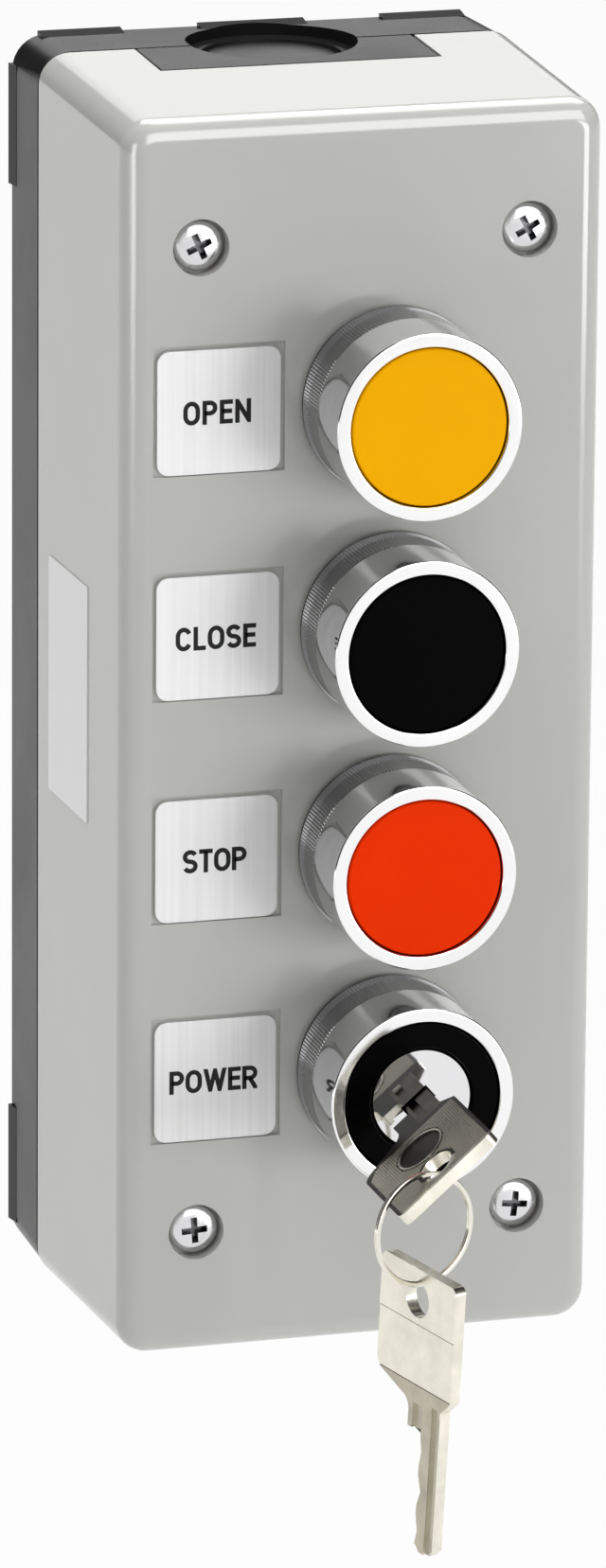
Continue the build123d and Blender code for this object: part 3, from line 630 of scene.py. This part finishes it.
entry_floor = half_height - 2.0
entry_steps = [
    (0, half_height + past),
    (entry_r, half_height + past),
    (entry_r, entry_floor),
    (11.9, entry_floor),
    (11.4, entry_floor - 0.25),
    (11.2, entry_floor - 0.75),
    (10.3, entry_floor - 0.75),
    (10.0, entry_floor - 0.35),
    (7.5, entry_floor - 0.12),
    (4.0, entry_floor - 0.02),
    (0, entry_floor),
]
wall_hole_r = 2.3
wall_hole_x = 29
wall_hole_z = 88
wall_hole = band(0, wall_hole_r, -base_floor - past, past)
wall_holes = [turned(wall_hole, x, z, 32) for x in (-wall_hole_x, wall_hole_x)
              for z in (-wall_hole_z, wall_hole_z)]
combine(base, [upright(entry_steps, tongue_x, entry_y), joined(wall_holes)], "DIFFERENCE")
base_mesh = reopen(base)
soften(base_mesh, base_edge, 2, 50)
put_back(base_mesh, base)
dress(base, finishes["base_black"], "enclosure")
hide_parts("rear_base")

# ------------------------ cover screws
# Four zinc-plated pan-head machine screws in their wells, each turned home at its own
# angle, with a cross recess whose walls taper to its floor.
screw_head_r = 3.95
screw_head_tall = 2.6
screw_dome = 0.95
dome_flat = 0.30
dome_curve = 1.4
screw_sink = 0.9
screw_shank_r = 2.0
screw_reach = 8
screw_tip_y = base_front + screw_reach
screw_turns = (24, 28, 4, -6)
recess_wide = 1.15
recess_long = 4.7
recess_deep = 1.5
recess_taper = 0.62
recess_within = 2.5
head_y = face_y + screw_sink
head_back = head_y + screw_head_tall
# A dark copy of the zinc for the cross recess: painted shade inside the recess.
screw_recess_shade = finish("screw_recess_shade", (0.16, 0.16, 0.165), 0.30, metallic=1.0, patch=0.2,
                      patch_scale=900, grain=0.01)
section = [(0, screw_tip_y), (screw_shank_r, screw_tip_y), (screw_shank_r, head_back),
           (screw_head_r, head_back)]
for step in range(7):
    turn = math.radians(90 - 15 * step)
    radius = screw_head_r * (dome_flat + (1 - dome_flat) * math.sin(turn)) if step < 6 else 0
    section.append((radius, head_y + screw_dome * (1 - math.cos(turn) ** dome_curve)))
for index, (x, z) in enumerate(screw_places):
    screw = mesh_object(turned(section, x, z, 64), "cover_screw_%d" % (index + 1))
    arms = []
    for quarter in (0, 90):
        arm = block((-recess_long / 2, -0.5, -recess_wide / 2),
                    (recess_long / 2, recess_deep, recess_wide / 2))
        for v in arm.verts:
            if v.co.y > 1:
                v.co.x *= recess_taper
                v.co.z *= recess_taper
        turn = Matrix.Rotation(math.radians(quarter - screw_turns[index]), 4, "Y")
        turn_by(arm, turn)
        shift(arm, (x, head_y, z))
        arms.append(arm)
    combine(screw, arms, "DIFFERENCE")
    screw_mesh = reopen(screw)
    # The recess's walls and floor take the dark zinc: painted shade.
    for face in screw_mesh.faces:
        centre = face.calc_center_median()
        off_axis = math.hypot(centre.x - x, centre.z - z)
        inside = off_axis < recess_within and centre.y < head_y + 2
        if inside and (face.normal.y > -0.8 or centre.y > head_y + recess_deep - 0.1):
            face.material_index = 1
    put_back(screw_mesh, screw)
    dress(screw, finishes["zinc_screw"], "enclosure", 40, [screw_recess_shade])
    chrome_lit.objects.link(screw)
    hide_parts("cover_screws")

# ------------------------ ring nuts
# Chromed nuts that clamp the operators to the face: a fine straight knurl between a plain
# foot and a chamfered front edge.
nut_r = 14.7
nut_bore_r = 11.05
nut_chamfer = 0.5
nut_foot_r = 14.9
nut_foot = 0.9
nut_relief = 0.3
knurl_depth = 0.30
knurl_teeth = 170
# A near-black chrome for the nuts' foot: a painted contact shadow against the face.
nut_foot_shadow = finish("nut_foot_shadow", (0.07, 0.07, 0.072), 0.20, metallic=1.0, patch=0.1)
for station, centre in centres.items():
    nut_low, nut_high = box_mm("ring_nut_" + station)
    section = [
        (nut_bore_r, nut_low.y),
        (nut_r - nut_chamfer, nut_low.y),
        (nut_r, nut_low.y + nut_chamfer),
        (nut_r, nut_high.y - nut_foot),
        (nut_foot_r, nut_high.y - nut_foot),
        (nut_foot_r, nut_high.y - nut_relief),
        (nut_foot_r - nut_relief, nut_high.y),
        (nut_bore_r, nut_high.y),
    ]
    nut_mesh = turned(section, centre.x, centre.z, 2 * knurl_teeth)
    tooth_turn = math.pi / knurl_teeth
    for v in nut_mesh.verts:
        across = Vector((v.co.x - centre.x, 0, v.co.z - centre.z))
        if abs(across.length - nut_r) < 0.01:
            place = round(math.atan2(across.z, across.x) / tooth_turn)
            if place % 2:
                v.co -= across.normalized() * knurl_depth
    # Painted light: the chamfer takes the bright rim chrome as a painted highlight, the foot the
    # near-black chrome as a painted contact shadow.
    for face in nut_mesh.faces:
        middle = face.calc_center_median()
        if middle.y < nut_low.y + nut_chamfer:
            face.material_index = 1
        if middle.y > nut_high.y - nut_foot:
            face.material_index = 2
    nut = mesh_object(nut_mesh, "knurled_nut_" + station)
    dress(nut, finishes["nut_chrome"], "enclosure", 20,
          [finishes["bezel_chrome"], nut_foot_shadow])
    chrome_lit.objects.link(nut)
    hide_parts("ring_nut_" + station)

# ------------------------ bezels
# Polished chrome sleeves screwed on the necks, with a flat bright rim around each cap. Their
# sides take a darker copy of the same chrome: painted shade, as the plating is one.
bezel_bore_r = 11.05
bezel_rim_r = 12.65
bezel_shoulder = 11.2
bezel_edge = 0.35
sleeve_shaded_chrome = finish("sleeve_shaded_chrome", (0.50, 0.50, 0.505), 0.06, metallic=1.0, patch=0.02,
                       grain=0.0005, gloss_drift=0.02)
for station, centre in centres.items():
    bezel_low, bezel_high = box_mm("bezel_" + station)
    outer_r = (bezel_high.x - bezel_low.x) / 2
    section = [
        (bezel_rim_r, bezel_low.y),
        (outer_r, bezel_low.y),
        (outer_r, bezel_high.y),
        (bezel_bore_r, bezel_high.y),
        (bezel_bore_r, face_y - bezel_shoulder),
        (bezel_rim_r, face_y - bezel_shoulder),
    ]
    bezel_mesh = turned(section, centre.x, centre.z, 128)
    soften(bezel_mesh, bezel_edge, 4, 60)
    # The sides get the darker chrome copy as painted shade; the rims and rounded edges keep the
    # bright chrome.
    for face in bezel_mesh.faces:
        middle = face.calc_center_median().y
        face.material_index = int(bezel_low.y + bezel_edge < middle < bezel_high.y - bezel_edge)
    sleeve = mesh_object(bezel_mesh, "sleeve_" + station)
    dress(sleeve, finishes["bezel_chrome"], "enclosure", 50, [sleeve_shaded_chrome])
    chrome_lit.objects.link(sleeve)
    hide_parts("bezel_" + station)

# ------------------------ button caps
# Flat caps moulded in coloured plastic, one on each plunger. They lie flush in their rims,
# with a small radius at the edge.
cap_edge = 0.45
for station, slot in (("open", "cap_yellow"), ("close", "cap_black"), ("stop", "cap_red")):
    cap_low, cap_high = box_mm("cap_" + station)
    centre = centres[station]
    radius = (cap_high.x - cap_low.x) / 2
    cap_mesh = turned(band(0, radius, cap_low.y, cap_high.y), centre.x, centre.z, 128)
    soften(cap_mesh, cap_edge, 4, 60)
    cap = mesh_object(cap_mesh, "button_" + station)
    dress(cap, finishes[slot], station + "_button", 50)
    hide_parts("cap_" + station)

# ------------------------ springs
# Return springs under the caps and contact springs in the blocks, wound from spring wire.
# Their back ends are seated in the box; each coil keeps its CAD shape and rides whole on it.
for station in stations:
    for node in ("return_spring_" + station, "contact_spring_" + station):
        if node not in frame["nodes"]:
            continue
        coil = mesh_object(reopen(frame["nodes"][node]), node.replace("spring", "coil"))
        dress(coil, finishes["spring_steel"], "enclosure", 50)
        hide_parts(node)
        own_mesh(coil)

# ------------------------ legends
# Brushed plates in their seats, each printed with one word in bold narrow capitals: the
# operators' functions. A letter is drawn by the middle of its strokes.
legend_corner = 2.0
legend_edge = 0.12
letter_tall = 3.8
letter_stroke = 0.72
letter_wide = {"O": 2.7, "P": 2.4, "E": 2.1, "N": 2.55, "C": 2.6, "L": 2.0, "S": 2.45,
               "T": 2.2, "W": 3.8, "R": 2.5}
word_wide = {"open": 10.9, "close": 13.0, "stop": 10.4, "power": 14.4}
word_shift = (-0.3, -0.1)
letter_waist = 0.47 * letter_tall
round_share = 1.15
mouth = 22
ink_thick = 0.04
ink = finish("legend_ink", (0.012, 0.012, 0.012), 0.55, patch=0.1, specular=0.2)


def bend(x, z, wide, tall, start, end, steps=12):
    """Points along an oval bend between two angles in degrees."""
    turns = [math.radians(start + (end - start) * step / steps) for step in range(steps + 1)]
    return [(x + wide * math.cos(turn), z + tall * math.sin(turn)) for turn in turns]


def strokes_of(letter):
    """The strokes of a capital, each as a run of points along its middle."""
    wide = letter_wide[letter]
    left, low = letter_stroke / 2, letter_stroke / 2
    right, high = wide - left, letter_tall - low
    middle = wide / 2
    half = middle - left
    if letter in "OC":
        round_tall = half * round_share
        gap = mouth if letter == "C" else 0
        run = bend(middle, high - round_tall, half, round_tall, gap, 180)
        run += bend(middle, low + round_tall, half, round_tall, 180, 360 - gap)
        return [run if gap else run + run[:1]]
    if letter == "S":
        bowl = (high - low) / 4
        run = bend(middle, high - bowl, half, bowl, mouth, 270)
        run += bend(middle, low + bowl, half, bowl, 90, mouth - 180)[1:]
        return [run]
    if letter in "PR":
        bowl = (high - letter_waist) / 2
        run = [(left, 0), (left, high)] + bend(right - bowl, high - bowl, bowl, bowl, 90, -90)
        runs = [run + [(left, letter_waist)]]
        if letter == "R":
            runs.append([(middle, letter_waist), (right - 0.05, low), (right + 0.1, -0.5)])
        return runs
    if letter == "E":
        return [[(wide, high), (left, high), (left, low), (wide, low)],
                [(left, letter_tall * 0.52), (wide - 0.12, letter_tall * 0.52)]]
    if letter == "L":
        return [[(left, letter_tall), (left, low), (wide, low)]]
    if letter == "T":
        return [[(0, high), (wide, high)], [(middle, high), (middle, 0)]]
    if letter == "N":
        return [[(left, 0), (left, high), (right, low), (right, letter_tall)]]
    quarter = (wide - letter_stroke) / 4
    return [[(left - 0.1, letter_tall + 0.4), (left + quarter, low), (middle, high),
             (right - quarter, low), (right + 0.1, letter_tall + 0.4)]]


def printed(text, wide):
    """A word of flat capitals, spread to its width, its middle at the origin."""
    space = (wide - sum(letter_wide[letter] for letter in text)) / (len(text) - 1)
    bm = bmesh.new()
    start = -wide / 2
    for letter in text:
        for run in strokes_of(letter):
            points = [bm.verts.new((start + x, 0, z - letter_tall / 2)) for x, z in run]
            for pair in zip(points, points[1:]):
                bm.edges.new(pair)
        start += letter_wide[letter] + space
    bmesh.ops.remove_doubles(bm, verts=bm.verts, dist=1e-4)
    raised = bmesh.ops.extrude_edge_only(bm, edges=list(bm.edges))
    bmesh.ops.translate(bm, vec=(0, ink_thick, 0), verts=new_verts(raised))
    face_out(bm)
    lines = mesh_object(bm, "lines")
    pen = lines.modifiers.new("pen", "SOLIDIFY")
    pen.thickness = letter_stroke * MM
    pen.offset = 0
    pen.use_even_offset = True
    thick = settled(lines)
    bpy.data.objects.remove(lines)
    bm = bmesh.new()
    bm.from_mesh(thick)
    bpy.data.meshes.remove(thick)
    bmesh.ops.scale(bm, vec=(1 / MM, 1 / MM, 1 / MM), verts=bm.verts)
    for side in (1, -1):
        everything = list(bm.verts) + list(bm.edges) + list(bm.faces)
        bmesh.ops.bisect_plane(bm, geom=everything, dist=1e-5, clear_outer=True,
                               plane_co=(0, 0, side * letter_tall / 2), plane_no=(0, 0, side))
        rims = [e for e in bm.edges if len(e.link_faces) == 1]
        bmesh.ops.holes_fill(bm, edges=rims, sides=0)
    face_out(bm)
    return bm


for station in stations:
    plate_low, plate_high = box_mm("legend_" + station)
    plate_mesh = block(plate_low, plate_high)
    uprights = [e for e in plate_mesh.edges if abs(e.verts[0].co.y - e.verts[1].co.y) > 0.1]
    soften(plate_mesh, legend_corner, 8, chosen=uprights)
    soften(plate_mesh, legend_edge, 2, chosen=front_rim(plate_mesh))
    plate = mesh_object(plate_mesh, "plate_" + station)
    dress(plate, finishes["brushed_aluminium"], "enclosure")
    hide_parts("legend_" + station)

    word_mesh = printed(station.upper(), word_wide[station])
    word_place = (
        (plate_low.x + plate_high.x) / 2 + word_shift[0],
        plate_low.y - ink_thick / 2,
        (plate_low.z + plate_high.z) / 2 + word_shift[1],
    )
    shift(word_mesh, word_place)
    word = mesh_object(word_mesh, "word_" + station)
    dress(word, ink, "enclosure")

# ------------------------ lock housing and barrel
# A glossy black dial ring on a tube that screws into the neck, and a polished barrel with
# a bright face that turns in it. The keyway stands at the angle of the resting key.
lock_low, lock_high = box_mm("lock_housing")
lock_x = (lock_low.x + lock_high.x) / 2
lock_z = (lock_low.z + lock_high.z) / 2
dial_r = (lock_high.x - lock_low.x) / 2
dial_thick = 3.4
dial_edge = 0.3
lock_bore_r = 8.4
lock_tube_r = 9.45
dial_section = [
    (lock_bore_r, lock_low.y),
    (dial_r, lock_low.y),
    (dial_r, lock_low.y + dial_thick),
    (lock_tube_r, lock_low.y + dial_thick),
    (lock_tube_r, lock_high.y),
    (lock_bore_r, lock_high.y),
]
dial_mesh = turned(dial_section, lock_x, lock_z, 128)
soften(dial_mesh, dial_edge, 4, 60)
dial = mesh_object(dial_mesh, "lock_dial")
dress(dial, finishes["dial_black"], "enclosure", 50)
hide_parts("lock_housing")

key_angle = math.radians(41)
barrel_low, barrel_high = box_mm("lock_barrel")
barrel_r = (barrel_high.x - barrel_low.x) / 2
shaft_r = 4.15
tail_r = 3.0
groove_r = 2.6
barrel_back = face_y + 0.8
shaft_back = face_y + 4.0
groove_front = face_y + 4.1
groove_back = face_y + 4.8
barrel_rim = 0.45
barrel_section = [
    (0, barrel_low.y),
    (barrel_r - barrel_rim, barrel_low.y),
    (barrel_r, barrel_low.y + barrel_rim),
    (barrel_r, barrel_back),
    (shaft_r, barrel_back),
    (shaft_r, shaft_back),
    (tail_r, shaft_back),
    (tail_r, groove_front),
    (groove_r, groove_front),
    (groove_r, groove_back),
    (tail_r, groove_back),
    (tail_r, barrel_high.y),
    (0, barrel_high.y),
]
barrel = mesh_object(turned(barrel_section, lock_x, lock_z, 128), "lock_plug")
keyway_wide = 5.0
keyway_thick = 2.2
keyway_middle = -0.70
keyway_depth = 17.6
keyway_mouth = 0.5
slot_turn = Matrix.Translation((lock_x, 0, lock_z)) @ Matrix.Rotation(-key_angle, 4, "Y")
slots = []
for grow, depth in ((0, keyway_depth), (keyway_mouth, keyway_mouth)):
    slot = block(
        (keyway_middle - keyway_wide / 2 - grow, -past, -keyway_thick / 2 - grow),
        (keyway_middle + keyway_wide / 2 + grow, depth, keyway_thick / 2 + grow),
    )
    if grow:
        for v in slot.verts:
            if v.co.y > 0:
                v.co.x += grow * (1 if v.co.x < keyway_middle else -1)
                v.co.z += grow * (1 if v.co.z < 0 else -1)
    turn_by(slot, slot_turn)
    shift(slot, (0, barrel_low.y, 0))
    slots.append(slot)
combine(barrel, slots, "DIFFERENCE")
# A near-black material for the walls inside the keyway: painted shade in the slot.
keyway_shade = finish("keyway_shade", (0.008, 0.008, 0.008), 0.5, patch=0.2)
barrel_mesh = reopen(barrel)
for face in barrel_mesh.faces:
    centre = face.calc_center_median()
    off_axis = math.hypot(centre.x - lock_x, centre.z - lock_z)
    within = barrel_low.y + keyway_mouth < centre.y < barrel_back - 1
    if within and off_axis < barrel_r - 1:
        face.material_index = 1
put_back(barrel_mesh, barrel)
dress(barrel, finishes["barrel_chrome"], "lock_barrel", 40, [keyway_shade])
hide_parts("lock_barrel")

# ------------------------ keys
# Two stamped and milled flat keys of nickel-plated brass. One side of the bow is pressed
# with a fine cross hatch around a plain oval badge, the other carries a smooth panel.
# A key is drawn with its blade down y and its thickness along z, with y = 0 at the bow's foot.
bow_left = -15.45
bow_right = 3.85
bow_top = 20.0
bow_middle = (bow_left + bow_right) / 2
bow_half_thick = 1.03
bow_foot = 1.2
stub_root = -1.95
hatch_rise = 0.09
blade_left = -3.05
blade_right = 1.65
blade_half_thick = 0.95
blade_end = -26.0
blade_tip = 1.3
stub_left = -6.45
stub_end = -6.2
bow_points = [
    (bow_left, bow_top, 1.2),
    (bow_right, bow_top, 1.2),
    (bow_right, 0.7, 0.5),
    (blade_right, -1.4, 0.4),
    (blade_right, -2.4, 0),
    (blade_left, -2.4, 0.3),
    (blade_left, stub_end, 0.2),
    (stub_left, stub_end, 0.3),
    (stub_left, stub_root, 2.2),
    (bow_left, bow_foot, 2.0),
]


def plate_of(points, low_z, high_z):
    """A plate cut to an outline of (x, y, corner radius)."""
    bm = bmesh.new()
    corners = [bm.verts.new((x, y, low_z)) for x, y, radius in points]
    bm.faces.new(corners)
    for vert, (x, y, radius) in zip(list(corners), points):
        if radius:
            before, after = [e.other_vert(vert).co - vert.co for e in vert.link_edges]
            cut = radius / math.tan(before.angle(after) / 2)
            bmesh.ops.bevel(bm, geom=[vert], offset=cut, segments=6, profile=0.5,
                            affect="VERTICES", material=-1)
    raised = bmesh.ops.extrude_face_region(bm, geom=list(bm.faces))
    bmesh.ops.translate(bm, vec=(0, 0, high_z - low_z), verts=new_verts(raised))
    face_out(bm)
    return bm


def pin(x, y, radius, low_z, high_z, steps=64):
    """A round bar along a key's thickness."""
    bm = bmesh.new()
    bmesh.ops.create_cone(bm, cap_ends=True, segments=steps, radius1=radius, radius2=radius,
                          depth=high_z - low_z)
    shift(bm, (x, y, (low_z + high_z) / 2))
    return bm


blade_points = [(blade_right, -1, 0), (blade_right, blade_end + blade_tip, 0.3),
                (blade_right - blade_tip, blade_end, 0.3), (blade_left + blade_tip, blade_end, 0.3),
                (blade_left, blade_end + blade_tip, 0.3)]
bitting_y = (-22.6, -16.0, -9.4)
bitting_half = 2.5
for notch_y, depth in zip(bitting_y, (0.55, 0.85, 0.45)):
    blade_points += [(blade_left, notch_y - bitting_half, 0), (blade_left + depth, notch_y, 0.5),
                     (blade_left, notch_y + bitting_half, 0)]
blade_points.append((blade_left, -1, 0))
hole_y = 15.0
hole_r = 2.95
badge_y = 6.6
badge_r = 4.3
badge_rim = 0.35
badge_sink = 0.28
badge_root = 0.2
field_z = -bow_half_thick + hatch_rise
clear = 3  # the same for the cuts in the keys
groove_half = 0.75
groove_off = 0.95
groove_sink = 0.7
groove_top = -1.2
stub_relief = (2.3, 0.43)
panel_foot = 1.0
panel_top = 10.8
panel_sink = 0.12
panel_line = 0.2
key_edge = 0.12

key_blank = mesh_object(plate_of(bow_points, field_z, bow_half_thick), "key_blank")
combine(key_blank, [plate_of(blade_points, -blade_half_thick, blade_half_thick)], "UNION")
key_cuts = [pin(bow_middle, hole_y, hole_r, -clear, clear)]
for side in (1, -1):
    x = (blade_left + blade_right) / 2 + side * groove_off
    low_z, high_z = sorted((side * (bow_half_thick - groove_sink), side * clear))
    key_cuts.append(block((x - groove_half, blade_end - clear, low_z),
                          (x + groove_half, groove_top, high_z)))
key_cuts.append(block((blade_left - stub_relief[0], stub_end - clear, stub_relief[1]),
                      (blade_left, stub_root, clear)))
key_cuts.append(block((bow_left - past, panel_foot, bow_half_thick - panel_sink),
                      (bow_right + past, panel_top, clear)))
key_cuts.append(block((bow_left - past, panel_top, bow_half_thick - panel_line),
                      (bow_right + past, panel_top + panel_line, clear)))
key_cuts.append(pin(bow_middle, badge_y, badge_r - badge_rim, -clear, field_z + badge_sink))
combine(key_blank, key_cuts, "DIFFERENCE")
blank_mesh = reopen(key_blank)
soften(blank_mesh, key_edge, 2, 50)

hatch_pitch = 0.42
hatch_border = 0.55
hatch_foot = 0.5
hatch_root = 0.05
hatch_step = 0.01
field_foot = 0.2
corner_reach = 2.4
corner_rise = 1.6
hole_border = 0.35
hatch = bmesh.new()
columns = int((bow_right - bow_left) / hatch_pitch)
rows = int((bow_top - hatch_foot) / hatch_pitch)
bmesh.ops.create_grid(hatch, x_segments=columns, y_segments=rows, size=0.5)
bmesh.ops.scale(hatch, vec=(columns * hatch_pitch, rows * hatch_pitch, 1), verts=hatch.verts)
shift(hatch, (bow_middle, bow_top / 2, 0))


def off_the_field(x, y):
    """True for a point outside the hatched field of the bow."""
    along = (x - bow_left) / (stub_left - bow_left)
    low_y = bow_foot + (stub_root - bow_foot) * along if x < stub_left else 0.0
    if x < bow_left + corner_reach:
        low_y += corner_rise * (1 - (x - bow_left) / corner_reach)
    return (
        not bow_left + hatch_border < x < bow_right - hatch_border
        or not max(low_y, field_foot) + hatch_border <= y <= bow_top - hatch_border
        or math.hypot(x - bow_middle, y - hole_y) < hole_r + hole_border
        or math.hypot(x - bow_middle, y - badge_y) < badge_r
    )


bare = [f for f in hatch.faces if any(off_the_field(v.co.x, v.co.y) for v in f.verts)]
bmesh.ops.delete(hatch, geom=bare, context="FACES")
shift(hatch, (0, 0, field_z + hatch_root))
lifted = bmesh.ops.extrude_face_region(hatch, geom=list(hatch.faces))
bmesh.ops.translate(hatch, vec=(0, 0, -hatch_root - hatch_step), verts=new_verts(lifted))
face_out(hatch)
outer = [f for f in hatch.faces if f.normal.z < -0.9]
bmesh.ops.poke(hatch, faces=outer, offset=hatch_rise - hatch_step)
for face in hatch.faces:
    face.material_index = 1
badge_section = band(badge_r - badge_rim, badge_r, field_z + badge_root, -bow_half_thick)
badge_ring = upright(badge_section, bow_middle, badge_y, 64)
for face in blank_mesh.faces:
    centre = face.calc_center_median()
    near = math.hypot(centre.x - bow_middle, centre.y - badge_y) < badge_r - badge_rim + 0.05
    if near and centre.z < -0.5:
        face.material_index = 2
    in_groove = centre.y < -1 and abs(centre.z) < 0.5 and abs(face.normal.z) > 0.5
    in_line = panel_top < centre.y < panel_top + panel_line and 0.8 < centre.z < 0.95
    if in_groove or in_line:
        face.material_index = 1
    # The blade's back faces take a near-black nickel: painted shade, where the bow shadows the
    # blade.
    if centre.y < groove_top and face.normal.z < -0.3:
        face.material_index = 3
    if centre.y < groove_top and face.normal.z > 0.3 and centre.z > 0.5:
        face.material_index = 4
key_pattern = bpy.data.meshes.new("key_pattern")
key_whole = joined([blank_mesh, hatch, badge_ring])
key_whole.to_mesh(key_pattern)
key_whole.free()
bpy.data.objects.remove(key_blank)

key_hatched = finish("key_hatched", (0.46, 0.435, 0.365), 0.24, metallic=1.0, patch=0.12,
                     patch_scale=160, grain=0.004)
# A near-black nickel for the blade's back faces: painted shade.
key_blade_shade = finish("key_blade_shade", (0.10, 0.092, 0.075), 0.32, metallic=1.0, patch=0.4,
                  patch_scale=260, grain=0.01)
key_blade = finish("key_blade", (0.50, 0.468, 0.375), 0.30, metallic=1.0, patch=0.16,
                   patch_scale=260, grain=0.008)
key_badge = finish("key_badge", (0.03, 0.028, 0.024), 0.35, metallic=0.6, patch=0.2,
                   patch_scale=300)


def basis(x_dir, z_dir, origin):
    """The matrix of a frame given by its x and z axes and its origin."""
    x_axis = Vector(x_dir).normalized()
    z_axis = Vector(z_dir).normalized()
    turn = Matrix((x_axis, z_axis.cross(x_axis), z_axis)).transposed().to_4x4()
    return Matrix.Translation(origin) @ turn


def place_key(name, node, body, where):
    """A key of the common pattern, set into its place."""
    bm = bmesh.new()
    bm.from_mesh(key_pattern)
    turn_by(bm, where)
    made = mesh_object(bm, name)
    dress(made, finishes["key_nickel"], body, 35,
          [key_hatched, key_badge, key_blade_shade, key_blade])
    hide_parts(node)


key_stand = 28.2
ring_turn = math.radians(19)
ring_along = Vector((math.cos(ring_turn), math.sin(ring_turn), 0))
place_key("hatched_key", "key", "key",
          basis((math.cos(key_angle), 0, math.sin(key_angle)),
                (math.sin(key_angle), 0, -math.cos(key_angle)),
                (lock_x, face_y - key_stand, lock_z)))

ring_low, ring_high = box_mm("key_ring")
ring_middle = (ring_low + ring_high) / 2
ring_r = 8.85
wire_radial = 0.8
wire_gap = 0.12
spare_lean = math.radians(-4.5)
spare_drop = hole_r - wire_radial / 2 - wire_gap
up = Vector((0, 0, 1))
lean_x = ring_along.cross(up) * math.cos(spare_lean) + up * math.sin(spare_lean)
ring_foot = ring_middle - up * ring_r
spare_turn = basis(lean_x, -ring_along, (0, 0, 0))
spare_pivot = Vector((bow_middle + math.sin(spare_lean) * spare_drop,
                      hole_y + math.cos(spare_lean) * spare_drop, 0))
spare_place = Matrix.Translation(ring_foot - spare_turn @ spare_pivot) @ spare_turn
place_key("hanging_key", "spare_key", "spare_key", spare_place)
bpy.data.meshes.remove(key_pattern)

# ------------------------ split ring
# Spring wire with a flattened section, wound in two turns that lie side by side, with a
# short jog where one turn crosses over to the other.
wire_axial = 0.38
wire_round = 0.17
turn_gap = 0.06
jog = math.radians(30)
flat_turn = 2 * math.pi - jog
ring_start = math.radians(-52)
turn_shift = wire_axial + turn_gap
split_mesh = bmesh.new()
wire = [
    split_mesh.verts.new((ring_r + x * wire_radial / 2, (y * wire_axial - turn_shift) / 2, 0))
    for x, y in ((-1, -1), (1, -1), (1, 1), (-1, 1))
]
wire_edges = [split_mesh.edges.new((wire[i], wire[(i + 1) % 4])) for i in range(4)]
last = wire + wire_edges
for angle, steps, rise in ((flat_turn, 110, 0), (jog, 12, turn_shift), (flat_turn, 110, 0)):
    spun = bmesh.ops.spin(split_mesh, geom=last, cent=(0, 0, 0), axis=(0, 1, 0), angle=angle,
                          steps=steps, dvec=(0, rise / steps, 0))
    last = spun["geom_last"]
open_ends = [e for e in split_mesh.edges if len(e.link_faces) == 1]
bmesh.ops.holes_fill(split_mesh, edges=open_ends, sides=4)
face_out(split_mesh)
soften(split_mesh, wire_round, 3, 60)
ring_place = Matrix.Translation(ring_middle) @ Matrix.Rotation(ring_turn, 4, "Z")
ring_place = ring_place @ Matrix.Rotation(ring_start, 4, "Y")
turn_by(split_mesh, ring_place)
split_ring = mesh_object(split_mesh, "split_ring")
dress(split_ring, finishes["ring_steel"], "key_ring", 40)
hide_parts("key_ring")
